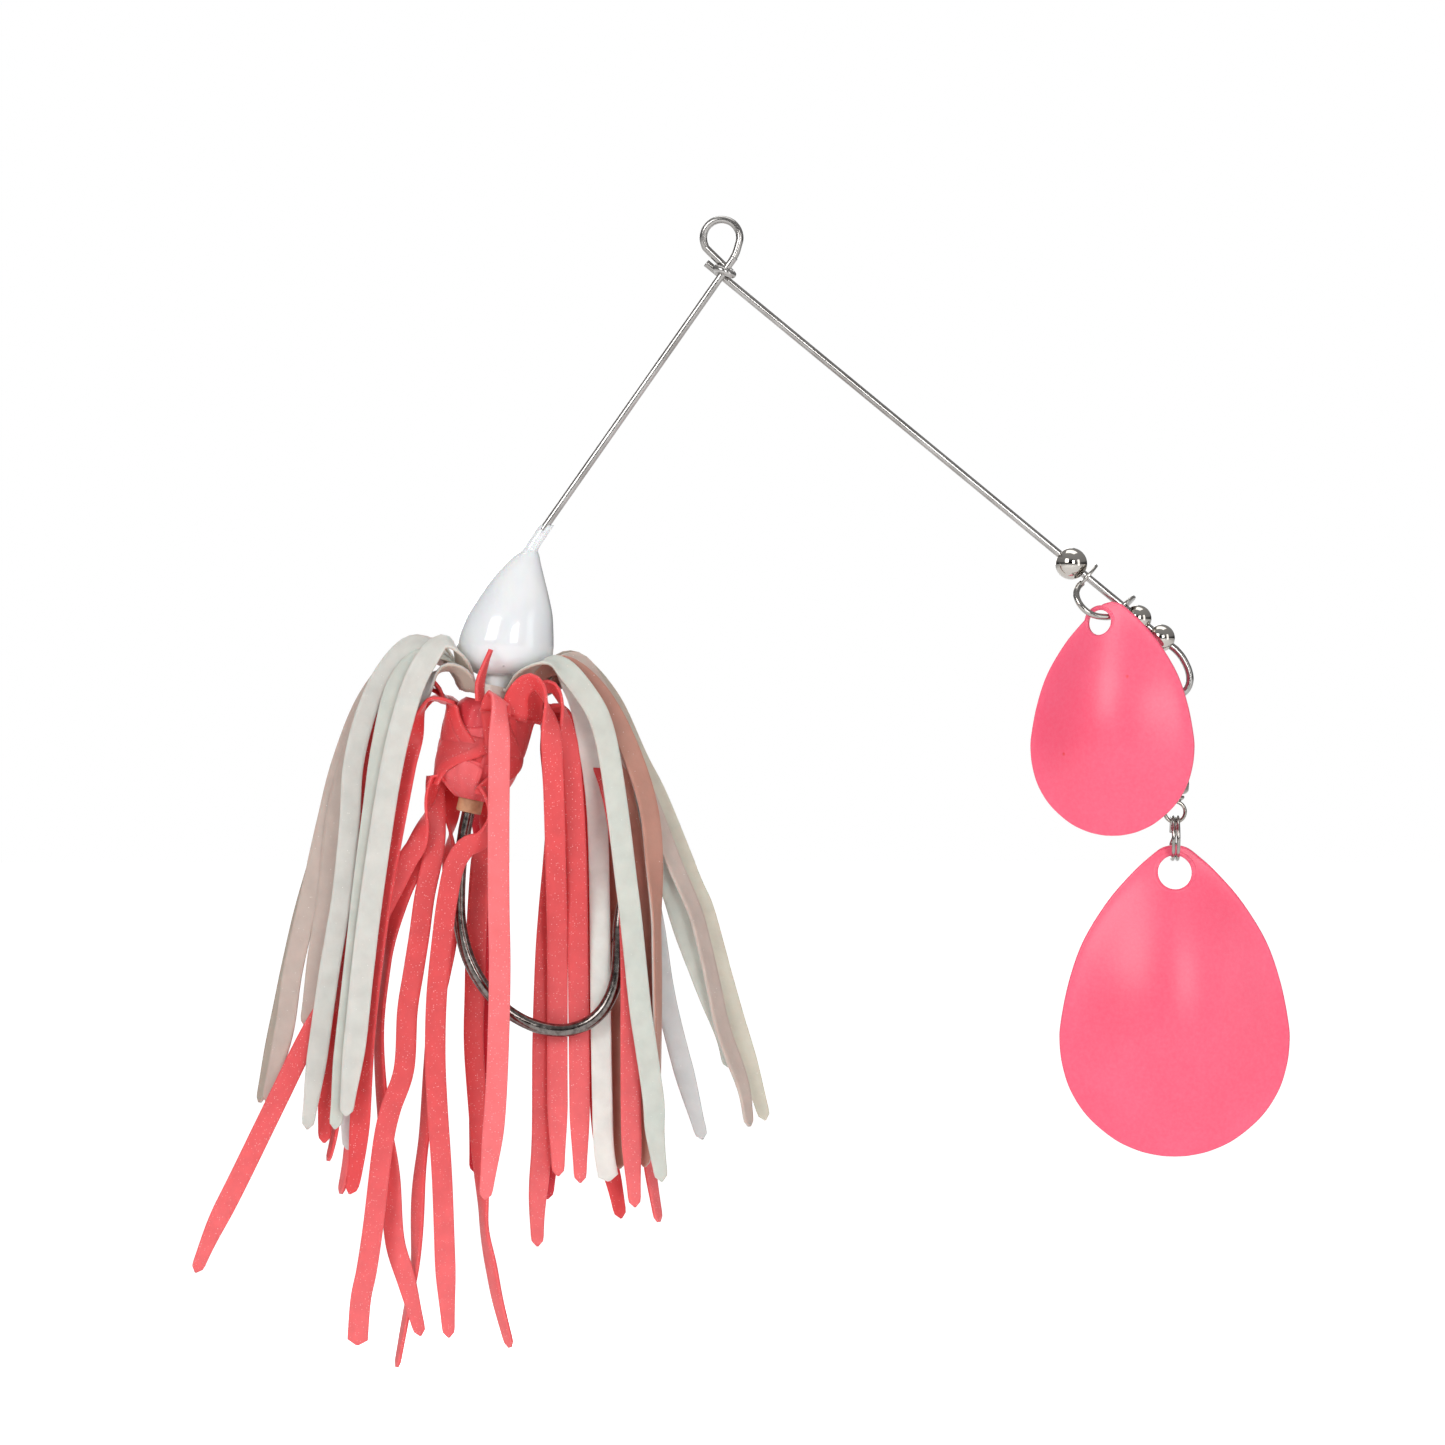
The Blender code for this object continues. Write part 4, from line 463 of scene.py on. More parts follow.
# ---------------------------------------------------------------- materials
class Nodes:
    """A node tree with a few short ways to add nodes."""

    def __init__(self, tree):
        self.tree = tree
        self.place = None

    def node(self, kind, **values):
        made = self.tree.nodes.new("ShaderNode" + kind)
        for key, value in values.items():
            if key in made.inputs.keys():
                made.inputs[key].default_value = value
            else:
                setattr(made, key, value)
        return made

    def link(self, source, target):
        self.tree.links.new(source, target)

    def coords(self):
        if self.place is None:
            self.place = self.node("TexCoord").outputs["Object"]
        return self.place

    def noise(self, scale, detail=3.0, roughness=0.55):
        made = self.node("TexNoise", Scale=scale, Detail=detail, Roughness=roughness)
        self.link(self.coords(), made.inputs["Vector"])
        return made.outputs["Fac"]

    def spots(self, scale, share, near, far):
        """Round spots in a share of the texture's cells, and a random value for each cell."""
        cells = self.node("TexVoronoi", Scale=scale)
        self.link(self.coords(), cells.inputs["Vector"])
        chance = self.node("SeparateColor")
        self.link(cells.outputs["Color"], chance.inputs[0])
        chosen = self.maths("GREATER_THAN", chance.outputs[0], 1.0 - share)
        round_spot = self.range(cells.outputs["Distance"], near, far, 1.0, 0.0)
        return self.maths("MULTIPLY", round_spot, chosen), chance.outputs[1]

    def ramp(self, fac, stops):
        made = self.node("ValToRGB")
        made.color_ramp.elements[0].position = stops[0][0]
        made.color_ramp.elements[0].color = (*stops[0][1], 1.0)
        made.color_ramp.elements[1].position = stops[-1][0]
        made.color_ramp.elements[1].color = (*stops[-1][1], 1.0)
        for position, colour in stops[1:-1]:
            made.color_ramp.elements.new(position).color = (*colour, 1.0)
        self.link(fac, made.inputs["Fac"])
        return made.outputs["Color"]

    def range(self, fac, low, high, to_low, to_high, **options):
        made = self.node("MapRange", **options)
        for key, value in zip(("From Min", "From Max", "To Min", "To Max"), (low, high, to_low, to_high)):
            made.inputs[key].default_value = value
        self.link(fac, made.inputs["Value"])
        return made.outputs["Result"]

    def mix(self, fac, first, second, mode="MIX"):
        """Mix of two colours; each is a socket or a plain colour."""
        made = self.node("Mix", data_type="RGBA", blend_type=mode)
        for value, socket in ((fac, made.inputs[0]), (first, made.inputs[6]), (second, made.inputs[7])):
            if isinstance(value, bpy.types.NodeSocket):
                self.link(value, socket)
            elif isinstance(value, tuple):
                socket.default_value = (*value, 1.0)
            else:
                socket.default_value = value
        return made.outputs[2]

    def maths(self, operation, first, second):
        made = self.node("Math", operation=operation)
        for value, socket in ((first, made.inputs[0]), (second, made.inputs[1])):
            if isinstance(value, bpy.types.NodeSocket):
                self.link(value, socket)
            else:
                socket.default_value = value
        return made.outputs[0]

    def bump(self, height, distance, strength=1.0, before=None):
        made = self.node("Bump")
        made.inputs["Strength"].default_value = strength
        made.inputs["Distance"].default_value = distance
        self.link(height, made.inputs["Height"])
        if before:
            self.link(before, made.inputs["Normal"])
        return made.outputs["Normal"]


class Shader(Nodes):
    """A Principled material."""

    def __init__(self, name, colour=None, roughness=0.5, metallic=0.0):
        self.material = bpy.data.materials.new(name)
        self.material.use_nodes = True
        super().__init__(self.material.node_tree)
        self.main = self.tree.nodes["Principled BSDF"]
        self.set("Roughness", roughness)
        self.set("Metallic", metallic)
        if colour:
            self.set("Base Color", (*colour, 1.0))

    def set(self, socket, value):
        self.main.inputs[socket].default_value = value

    def into(self, socket, source):
        self.link(source, self.main.inputs[socket])


def silicone(name, fleck_share, fleck_colour, roughness):
    """Thin silicone sheet: a powdery satin face, a faint grain, fine flecks and light coming through."""
    s = Shader(name, roughness=roughness)
    tint = s.node("Attribute", attribute_name="tint").outputs["Color"]
    shade = s.range(s.noise(420, 4), 0.3, 0.7, 0.92, 1.05)
    tone = s.mix(1.0, tint, shade, "MULTIPLY")
    flecks, chance = s.spots(5200, fleck_share, 0.16, 0.34)
    bright = s.maths("MULTIPLY", flecks, s.range(chance, 0.0, 1.0, 0.25, 0.95))
    s.into("Base Color", s.mix(bright, tone, fleck_colour))
    s.into("Roughness", s.range(bright, 0.0, 1.0, roughness, 0.2))
    grain = s.noise(9000, 2)
    soft = s.noise(900, 3)
    s.into("Normal", s.bump(grain, 0.00002, 0.35, s.bump(soft, 0.00012, 0.35)))
    s.set("Specular IOR Level", 0.35)
    s.set("Subsurface Weight", 0.25)
    s.set("Subsurface Radius", (1.0, 0.35, 0.3))
    s.set("Subsurface Scale", 0.0007)
    s.set("Sheen Weight", 0.12)
    s.set("Sheen Roughness", 0.4)
    return s.material


def steel(name, colour, roughness, scratch, grain_scale, dark=None):
    """Bright plated metal with fine wear, and darker stain where `dark` is given."""
    s = Shader(name, colour, roughness, 1.0)
    fine = s.noise(grain_scale, 4, 0.6)
    broad = s.noise(260, 3)
    if dark:
        s.into("Base Color", s.mix(s.range(broad, 0.35, 0.68, 0.0, 1.0), colour, dark))
    s.into("Roughness", s.range(fine, 0.3, 0.7, roughness * 0.7, roughness * 1.6))
    s.into("Normal", s.bump(fine, 0.00001, scratch))
    return s.material


# ---------------------------------------------------------------- strands
def strand_line(ring, turn_degrees, route, count):
    """The strand's start on its ring, one point straight out from it, then the route."""
    distance, radius = ring
    outward = around_shank(math.radians(turn_degrees))
    start = along_shank(distance) + outward * radius
    return smooth_points([start, start + outward * STRAND_START] + route, count)


def ribbon_normals(points, tangents, face, shows="outer", arch=FREE_ARCH):
    """The flat side faces up where the strand leaves its ring, and turns to the front as it falls."""
    carried = carried_normals(points, tangents, -np.array(SHANK_DIR))
    length = line_length(points)
    along = np.linspace(0, length, len(points))
    wanted = []
    for tangent, normal, distance in zip(tangents, carried, along):
        front = -BACK + tangent * np.dot(BACK, tangent)
        angle = angle_about(tangent, normal, unit(front)) if np.linalg.norm(front) > 0.3 else 0.0
        if wanted:
            angle += TURN * round((wanted[-1] - angle) / TURN)
        wanted.append(angle)
    settled = wanted[int(len(points) * 0.25)]
    side = 0 if shows == "outer" else 1
    half_turns = 2 * round((settled / math.pi - side) / 2) + side
    normals = []
    for tangent, normal, distance, angle in zip(tangents, carried, along, wanted):
        angle += math.radians(read_table(face, distance / length)) - math.pi * half_turns
        normals.append(rotated(normal, tangent, angle * smoothstep(*arch, distance)))
    return normals


def ribbon_width(distance, length, width, root_width, blunt):
    """Full width of a strand at a distance from its root."""
    root = root_width + (1 - root_width) * smoothstep(0, ROOT_TAPER, distance)
    left = length - distance
    tip = 1.0
    if not blunt:
        tip = 0.62 + 0.38 * smoothstep(0, TIP_TAPER, left)
    round_off = math.sqrt(max(0.02, 1 - (1 - min(1.0, left / (0.35 if blunt else TIP_ROUND))) ** 2))
    return width * root * tip * round_off


def ribbon_section():
    upper = RIBBON_SIDE
    lower = [(-x, -y) for x, y in RIBBON_SIDE]
    return upper + lower


def ribbon_shell(points, normals, widths, thick, cup, colour_at, edge_lift):
    """Closed ribbon with rounded edges, and a tint for each of its sides."""
    tangents = tangents_of(points)
    section = ribbon_section()
    verts = []
    tints = []
    for k, (point, tangent, normal, width) in enumerate(zip(points, tangents, normals, widths)):
        normal = unit(normal - tangent * np.dot(normal, tangent))
        side = np.cross(tangent, normal)
        outer, inner = colour_at(k / (len(points) - 1))
        for x, y in section:
            bow = cup * (1 - x * x)
            verts.append(point + side * (x * width / 2) + normal * (y * thick / 2 + bow * width / 2))
            colour = outer if y > 0.05 else inner if y < -0.05 else 0.5 * (outer + inner)
            lift = 1.0 + edge_lift * smoothstep(0.86, 1.0, abs(x))
            tints.append((*np.clip(colour * lift, 0, 1), 1.0))
    count = len(section)
    faces = grid_faces(len(points), count)
    faces.append(tuple(range(count)))
    faces.append(tuple((len(points) - 1) * count + k for k in range(count)))
    return verts, faces, tints


def build_strand(kind, number, row, material, slot, rng):
    name = f"{kind}_{number:02d}"
    look = STRAND_LOOKS.get(name, {})
    ring, turn, route = row
    points = strand_line(ring, turn, route, STRAND_RINGS)
    tangents = tangents_of(points)
    length = line_length(points)
    wave = rng.uniform(3, 7)
    phase = rng.uniform(0, TURN)
    face = look.get("face", [(0.0, 0), (1.0, 0)])
    normals = ribbon_normals(points, tangents, face, look.get("shows", "outer"),
                             look.get("arch", FREE_ARCH))
    widths = []
    root_width = 1.0 if ring == RING_FOOT else ROOT_WIDTH[kind]
    for k in range(STRAND_RINGS):
        distance = length * k / (STRAND_RINGS - 1)
        sway = math.radians(wave) * math.sin(phase + distance * 0.16)
        normals[k] = rotated(normals[k], tangents[k], sway)
        widths.append(ribbon_width(distance, length, look.get("width", STRAND_WIDTH), root_width,
                                   look.get("blunt")))
    names = SIDE_COLOURS[kind]
    shade = rng.uniform(0.97, 1.03)
    outer = np.array(COLOURS[look.get("outer", names[0])]) * shade
    inner = np.array(COLOURS[look.get("inner", names[1])]) * shade
    upper = np.array(COLOURS[look["upper"]]) * shade if "upper" in look else inner
    tip = np.array(COLOURS["light"]) if kind == "pink" else outer

    def colour_at(share):
        fade = TIP_FADE * smoothstep(0.45, 1.0, share)
        return outer + (tip - outer) * fade, upper + (inner - upper) * smoothstep(*UPPER_PART, share)

    verts, faces, tints = ribbon_shell(points, normals, widths, STRAND_THICK, STRAND_CUP, colour_at,
                                      STRAND_EDGE_LIFT)
    piece = mesh_object("skirt_" + name, verts, faces, "frame", ("strand_" + name,), slot, material,
                        tints=tints)


def build_strands():
    rng = random.Random(7)
    white = silicone("white_silicone", 0.02, (0.95, 0.93, 0.88), 0.5)
    pink = silicone("pink_glitter_silicone", 0.22, (1.0, 0.62, 0.62), 0.42)
    for number, row in enumerate(WHITE_STRANDS, start=1):
        build_strand("white", number, row, white, "white_silicone", rng)
    for number, row in enumerate(PINK_STRANDS, start=1):
        build_strand("pink", number, row, pink, "pink_silicone", rng)


# ---------------------------------------------------------------- wire, hook and head
def leg_and_eye_points():
    """From the head up the leg, round the eye, and once round the leg to the arm."""
    back = Vector((0, 1, 0))
    leg_dir = (LEG_FOOT - LEG_TOP).normalized()
    side = Vector((-leg_dir.z, 0, leg_dir.x)).normalized()
    points = [LEG_FOOT, LEG_FOOT.lerp(LEG_TOP, 0.5), LEG_TOP, LEG_TOP - leg_dir * 0.8, EYE_ENTRY]
    for k in range(21):
        turn = math.radians(-20 + 238 * k / 20)
        points.append(Vector((EYE_R * math.cos(turn), -0.95 + 0.9 * k / 20, EYE_R * math.sin(turn))))
    for k in range(17):
        turn = TURN * k / 16
        centre = LEG_TOP + leg_dir * WRAP_PITCH * k / 16
        points.append(centre + WRAP_R * (back * math.cos(turn) + side * math.sin(turn)))
    return points


def build_wire():
    shine = steel("spring_wire", (0.50, 0.485, 0.47), 0.18, 0.25, 5200, dark=(0.36, 0.345, 0.33))
    route = leg_and_eye_points() + [along_arm(1.2), along_arm(3.0), along_arm(ARM_STRAIGHT)]
    points = smooth_points(route, 900)
    loop = smooth_points([along_arm(ARM_STRAIGHT), along_arm(ARM_STRAIGHT + 0.5)] + END_LOOP_ROUTE, 110)
    points = np.concatenate((points[:-1], loop))
    radii = [WIRE_R] * len(points)
    radii[-1] = WIRE_R * 0.8
    tube_object("line_wire", points, radii, 20, "frame", ("wire_frame",), "spring_wire", shine)


def build_hook():
    s = Shader("black_nickel", roughness=0.2, metallic=1.0)
    grain = s.noise(1700, 4, 0.6)
    s.into("Base Color", s.ramp(grain, [(0.36, (0.13, 0.11, 0.10)), (0.60, (0.26, 0.235, 0.22))]))
    s.into("Roughness", s.range(grain, 0.3, 0.7, 0.12, 0.26))
    s.into("Normal", s.bump(grain, 0.00001, 0.3))
    route = [along_shank(HOOK_START), along_shank(SHANK_STRAIGHT * 0.5), along_shank(SHANK_STRAIGHT)]
    points = smooth_points([tuple(p) for p in route] + BEND_ROUTE, 260)
    steps = np.linalg.norm(np.diff(points, axis=0), axis=1)
    left = np.concatenate((np.cumsum(steps[::-1])[::-1], [0.0]))
    radii = [HOOK_R * min(1.0, 0.05 + 0.95 * (d / POINT_LENGTH) ** 0.75) for d in left]
    verts, faces = tube_shell(points, radii, 24)
    base = len(verts)
    for thick in (-BARB_HALF_THICK, BARB_HALF_THICK):
        verts += [(x, thick * (BARB_EDGE if k == 1 else 1), z) for k, (x, z) in enumerate(BARB_CORNERS)]
    faces += [(base, base + 1, base + 2), (base + 3, base + 5, base + 4)]
    for k in range(3):
        j = (k + 1) % 3
        faces.append((base + k, base + j, base + 3 + j, base + 3 + k))
    mesh_object("hook_wire", verts, faces, "frame", ("hook",), "black_nickel", s.material)


def build_head():
    s = Shader("white_gloss_paint", (0.88, 0.895, 0.91), 0.16)
    spot, _ = s.spots(900, 0.025, 0.10, 0.2)
    base = s.ramp(s.noise(170, 2), [(0.35, (0.84, 0.86, 0.88)), (0.65, (0.90, 0.905, 0.91))])
    s.into("Base Color", s.mix(s.maths("MULTIPLY", spot, 0.55), base, (0.32, 0.34, 0.36)))
    dents = s.bump(spot, 0.00012, 0.8)
    s.into("Normal", s.bump(s.noise(420, 3), 0.00035, 0.16, dents))
    s.set("Coat Weight", 0.8)
    s.set("Coat Roughness", 0.05)
    s.set("Subsurface Weight", 0.1)
    s.set("Subsurface Scale", 0.001)
    rows = smooth_points([(x, z, w, d) for z, x, w, d in HEAD_SECTIONS], HEAD_RINGS)
    verts = []
    for x, z, width, depth in rows:
        for k in range(HEAD_SIDES):
            turn = TURN * k / HEAD_SIDES
            ridge = 1 + 0.012 * max(0.0, 1 - abs(math.sin(turn)) / 0.12)
            verts.append((x + width * ridge * math.cos(turn), depth * math.sin(turn), z))
    faces = grid_faces(len(rows), HEAD_SIDES)
    faces += [tuple(range(HEAD_SIDES)), tuple(len(verts) - HEAD_SIDES + k for k in range(HEAD_SIDES))]
    mesh_object("painted_head", verts, faces, "frame", ("head",), "head_paint", s.material)


# ---------------------------------------------------------------- skirt holders
def rounded_ring(inner, outer, start, end, bevel=0.25):
    outline = [(inner, start), (outer - bevel, start)]
    for k in range(1, 5):
        turn = math.pi / 2 * k / 5
        outline.append((outer - bevel + bevel * math.sin(turn), start + bevel - bevel * math.cos(turn)))
    outline += [(outer, start + bevel), (outer, end - bevel)]
    for k in range(1, 5):
        turn = math.pi / 2 * k / 5
        outline.append((outer - bevel + bevel * math.cos(turn), end - bevel + bevel * math.sin(turn)))
    return outline + [(outer - bevel, end), (inner, end)]


def rubber(name, colour, shade, roughness=0.55):
    s = Shader(name, colour, roughness)
    s.into("Base Color", s.ramp(s.noise(700, 4), [(0.3, shade), (0.65, colour)]))
    s.into("Normal", s.bump(s.noise(5200, 3), 0.00003, 0.4))
    return s.material


def build_holders():
    start, end, outer = TUBE
    verts, faces = lathe_shell(rounded_ring(HOOK_R + FIT, outer, start, end, 0.2), shank_matrix(), 64)
    mesh_object("core_tube", verts, faces, "frame", ("skirt_core_tube",), "core_rubber",
                rubber("tan_rubber", (0.60, 0.33, 0.18), (0.38, 0.18, 0.09)))
    start, end, outer = COLLAR
    verts, faces = lathe_shell(rounded_ring(KEEPER_R + FIT, outer, start, end), shank_matrix(), 64)
    mesh_object("pale_collar", verts, faces, "frame", ("skirt_collar_white",), "collar_rubber",
                rubber("pale_rubber", (0.78, 0.72, 0.66), (0.62, 0.50, 0.42)))


# Sheets that lie over each other on the gathered bases: start and end turn about the shank, the
# upper edge's distance at each of them, how far it bows down between, the lower edge, and lift.
HUB_SHEETS = [
    (215, 372, 12.2, 13.4, 1.6, 24.0, 0.22),
    (238, 368, 14.6, 18.0, 0.7, 24.0, 0.30),
    (282, 372, 19.8, 18.8, -1.2, 24.0, 0.22),
    (4, 128, 14.2, 13.0, -1.3, 24.0, 0.26),
    (40, 175, 17.0, 15.6, 1.2, 24.0, 0.24),
    (120, 262, 13.4, 15.0, 1.1, 24.0, 0.24),
    (160, 300, 17.8, 16.6, -0.9, 24.0, 0.22),
]


def sheet_lift(turn_degrees, distance):
    total = 0.0
    for start, end, upper_start, upper_end, bow, lower, height in HUB_SHEETS:
        across = (turn_degrees - start) % 360
        width = end - start
        if across > width:
            continue
        share = across / width
        edge = upper_start + (upper_end - upper_start) * share + bow * 4 * share * (1 - share)
        sides = smoothstep(0, 5, across) * smoothstep(0, 5, width - across)
        total += height * smoothstep(0, 0.22, distance - edge) * sides * smoothstep(0, 3.5, lower - distance)
    return total


RIM_PETAL = [(4.5, 18.2), (4.85, 16.2), (4.95, 14.2), (4.98, 13.0), (5.05, 12.4), (5.3, 12.08), (5.75, 12.0)]
FOOT_PETAL = [(4.75, 15.2), (4.95, 17.2), (4.9, 19.0), (4.75, 20.2), (4.7, 21.0), (4.85, 21.8)]
PETAL_SIDES = 14
PETAL_RINGS = 26
PETAL_THICK = 0.45
PETAL_WIDTHS = (5.6, 7.4)       # at a petal's broad start
# each kind of petal: its path, its width at the strand, and how many degrees it runs round the shank
PETALS = {"rim": (RIM_PETAL, 3.5, 38), "foot": (FOOT_PETAL, 2.7, 62)}
HUB_ROWS = 150
HUB_COLUMNS = 260
# Hub reds: painted shade on the low surface under and between the lifted sheets, and a lighter red where a
# sheet is lifted into the light.
HUB_SHADED_RED = (0.72, 0.055, 0.07)
HUB_LIT_RED = (0.86, 0.135, 0.145)
TAB_WIDTH = 1.75
TAB_THICK = 0.42
TAB_TURN = 62                   # degrees away from the front


def petal_shell(path, turn_degrees, lift, wide, narrow, sweep):
    """A strand's flat base on the gathered hub, from a broad start to the strand's root."""
    rows = smooth_points([(r, d, 0.0) for r, d in path], PETAL_RINGS)
    verts = []
    for k, (radius, distance, _) in enumerate(rows):
        share = k / (len(rows) - 1)
        half = (wide + (narrow - wide) * smoothstep(0.0, 0.85, share)) / 2
        rise = lift * smoothstep(0.0, 0.3, share)
        middle = math.radians(turn_degrees + sweep * (1 - smoothstep(0.0, 1.0, share)))
        loop = []
        for layer, order in ((0.0, 1), (-PETAL_THICK, -1)):
            for j in range(PETAL_SIDES + 1):
                across = (2 * j / PETAL_SIDES - 1) * order
                edge = 0.12 * abs(across) ** 12
                reach = radius + rise + layer * (1 - 0.4 * abs(across) ** 8) - edge
                angle = middle + across * half / radius
                loop.append(along_shank(distance) + around_shank(angle) * reach)
        verts += loop
    count = 2 * (PETAL_SIDES + 1)
    faces = grid_faces(len(rows), count)
    faces += [tuple(range(count)), tuple(len(verts) - count + k for k in range(count))]
    return verts, faces


def build_petals(material, rng):
    verts, faces, tints = [], [], []
    for ring, turn, _ in PINK_STRANDS:
        path, narrow, sweep = PETALS["rim" if ring == RING_RIM else "foot"]
        lift = rng.uniform(0.1, 0.36)
        more, petal_faces = petal_shell(path, turn, lift, rng.uniform(*PETAL_WIDTHS), narrow, sweep)
        tone = np.array(COLOURS["deep"]) * rng.uniform(0.92, 1.04)
        faces += [tuple(v + len(verts) for v in face) for face in petal_faces]
        tints += [(*np.minimum(tone, 1.0), 1.0)] * len(more)
        verts += more
    mesh_object("strand_bases", verts, faces, "frame", ("skirt_hub_pink",), "hub_silicone", material,
                tints=tints)


def build_hub():
    material = silicone("hub_silicone", 0.16, (1.0, 0.55, 0.53), 0.45)
    matrix = shank_matrix()
    rows, columns = HUB_ROWS, HUB_COLUMNS
    profile = smooth_points([(r, d, 0.0) for r, d in HUB_PROFILE], rows)
    verts = []
    tints = []
    deep = np.array(HUB_SHADED_RED)
    light = np.array(HUB_LIT_RED)
    for radius, distance, _ in profile:
        for k in range(columns):
            turn = TURN * k / columns
            degrees = math.degrees(turn)
            fold = 0.07 * math.sin(9 * turn + 0.55 * distance) + 0.05 * math.sin(14 * turn - 0.3 * distance)
            lift = sheet_lift(degrees, distance)
            reach = radius - 0.5 + lift + fold * smoothstep(10.9, 12.5, distance)
            verts.append(along_shank(distance) + around_shank(turn) * reach)
            # painted shade where no sheet is lifted, going to the lighter red as a sheet lifts
            share = min(1.0, lift / 0.6)
            tints.append((*(deep + (light - deep) * share), 1.0))
    faces = grid_faces(rows, columns)
    bore = TUBE[2] + FIT
    base = len(verts)
    for row in (profile[0], profile[-1]):
        for k in range(columns):
            verts.append(along_shank(row[1]) + around_shank(TURN * k / columns) * bore)
            tints.append((*deep, 1.0))
    for k in range(columns):
        j = (k + 1) % columns
        faces.append((base + k, base + j, j, k))
        last = (rows - 1) * columns
        faces.append((last + k, last + j, base + columns + j, base + columns + k))
        faces.append((base + columns + k, base + columns + j, base + j, base + k))
    mesh_object("gathered_hub", verts, faces, "frame", ("skirt_hub_pink",), "hub_silicone", material,
                tints=tints)
    build_petals(material, random.Random(11))


def build_tab():
    """A short cut end that stands up in front of the head, seen nearly on its edge."""
    points = smooth_points(TAB_ROUTE, 40)
    tangents = tangents_of(points)
    widths = []
    normals = []
    for k, tangent in enumerate(tangents):
        share = k / (len(points) - 1)
        widths.append(TAB_WIDTH * (1 - 0.72 * smoothstep(0.25, 1.0, share)))
        front = unit(-BACK + tangent * np.dot(BACK, tangent))
        normals.append(rotated(front, tangent, math.radians(TAB_TURN)))
    colours = (np.array(COLOURS["pink"]), np.array(COLOURS["deep"]))
    verts, faces, tints = ribbon_shell(points, normals, widths, TAB_THICK, 0.04, lambda share: colours, 0.1)
    mesh_object("short_tab", verts, faces, "frame", ("skirt_tab_pink",), "tab_silicone",
                bpy.data.materials["pink_glitter_silicone"], tints=tints)


# ---------------------------------------------------------------- beads, clevis and blades
BEAD_FIT = 0.07
BEADS = {"bead_top": (53.45, 1.88), "bead_middle": (63.64, 1.6), "bead_lower": (67.22, 1.6)}
EARS = ((55.87, 0), (61.42, 12))    # distance along the arm and splay in degrees
EAR_R = 1.85
EAR_THICK = 0.4
BOW_R = 0.38
CLEVIS_TURN = math.radians(40)
BOW_ROUTE = [(55.87, 1.35), (55.8, 2.2), (56.1, 3.2), (57.0, 4.0), (58.2, 4.3), (59.4, 4.0), (60.47, 3.15),
             (61.17, 2.2), (61.42, 1.35)]


def build_beads():
    shine = steel("polished_nickel", (0.60, 0.565, 0.52), 0.05, 0.06, 3000)
    bore = WIRE_R + BEAD_FIT
    for name, (distance, radius) in BEADS.items():
        limit = math.acos(bore / radius)
        outline = []
        for k in range(49):
            turn = -limit + 2 * limit * k / 48
            outline.append((radius * math.cos(turn), radius * math.sin(turn)))
        verts, faces = lathe_shell(outline, arm_matrix(distance), 96)
        mesh_object(name + "_ball", verts, faces, name, (name,), "bead_nickel", shine)


def build_clevis():
    shine = steel("clevis_nickel", (0.52, 0.50, 0.47), 0.14, 0.3, 3600, dark=(0.34, 0.32, 0.3))
    frame_at = arm_matrix(0, CLEVIS_TURN)
    origin = np.array(frame_at.translation)
    out = np.array(frame_at.col[0].xyz)
    along = np.array(frame_at.col[2].xyz)
    route = [origin + out * r + along * d for d, r in BOW_ROUTE]
    points = smooth_points(route, 90)
    verts, faces = tube_shell(points, [BOW_R] * len(points), 20)
    for distance, splay in EARS:
        tilt = Matrix.Rotation(math.radians(splay), 4, "Y")
        outline = rounded_ring(WIRE_R + 0.15, EAR_R, -EAR_THICK / 2, EAR_THICK / 2, 0.15)
        more, rings = lathe_shell(outline, arm_matrix(distance, CLEVIS_TURN) @ tilt, 64)
        rings = [tuple(v + len(verts) for v in face) for face in rings]
        verts += more
        faces += rings
    mesh_object("clevis_strip", verts, faces, "clevis", ("clevis",), "clevis_nickel", shine)


BLADE_HOLE_DOWN = 3.3
BLADE_CUP_DOWN = 20.5
BLADE_OUTLINE = [(0.0, 0.0), (0.4, 1.5), (1.4, 2.85), (3.2, 4.85), (6.7, 7.9), (11.4, 10.8), (16.2, 12.5),
                 (20.9, 13.45), (23.4, 13.6), (26.2, 13.25), (29.2, 12.25), (32.2, 10.25), (34.8, 7.2),
                 (36.2, 4.3), (36.8, 1.7), (36.9, 0.0)]
LARGE = {"scale": 1.0, "hole": Vector((53.5, 0.0, -74.83)), "hole_r": 2.0, "across": 0.0, "turn": 0.0,
         "cup": 4.4, "thick": 0.6}
SMALL = {"scale": 0.748, "hole": Vector((44.52, -1.8, -45.38)), "hole_r": 1.48, "across": -1.4,
         "turn": math.radians(22), "cup": 3.2, "thick": 0.5}
CUP_POWER = 1.6
BLADE_RINGS = 40
BLADE_HALF = 13.6
BLADE_BELOW = 16.4


def blade_matrix(blade):
    """X across the blade, Y down its length from the hole, Z out of its convex face."""
    turn = blade["turn"]
    across = Vector((math.cos(turn), -math.sin(turn), 0))
    convex = Vector((-math.sin(turn), -math.cos(turn), 0))
    return frame_matrix(blade["hole"], across, Vector((0, 0, -1)), convex)


def cup_height(blade, share, rounding=0.0):
    """Rise above the rim; `rounding` moves the fall of the cup out towards the rim."""
    return blade["cup"] * max(0.0, 1 - (1 - rounding) * share ** 2 - rounding * share ** 5) ** CUP_POWER


def corner_rounding(point, cup):
    """How far the outline stays inside an oval about the cup, which smooths the cup over corners."""
    x, y = point - cup
    return max(0.0, 1 - (x / BLADE_HALF) ** 2 - (y / (BLADE_CUP_DOWN if y < 0 else BLADE_BELOW)) ** 2)


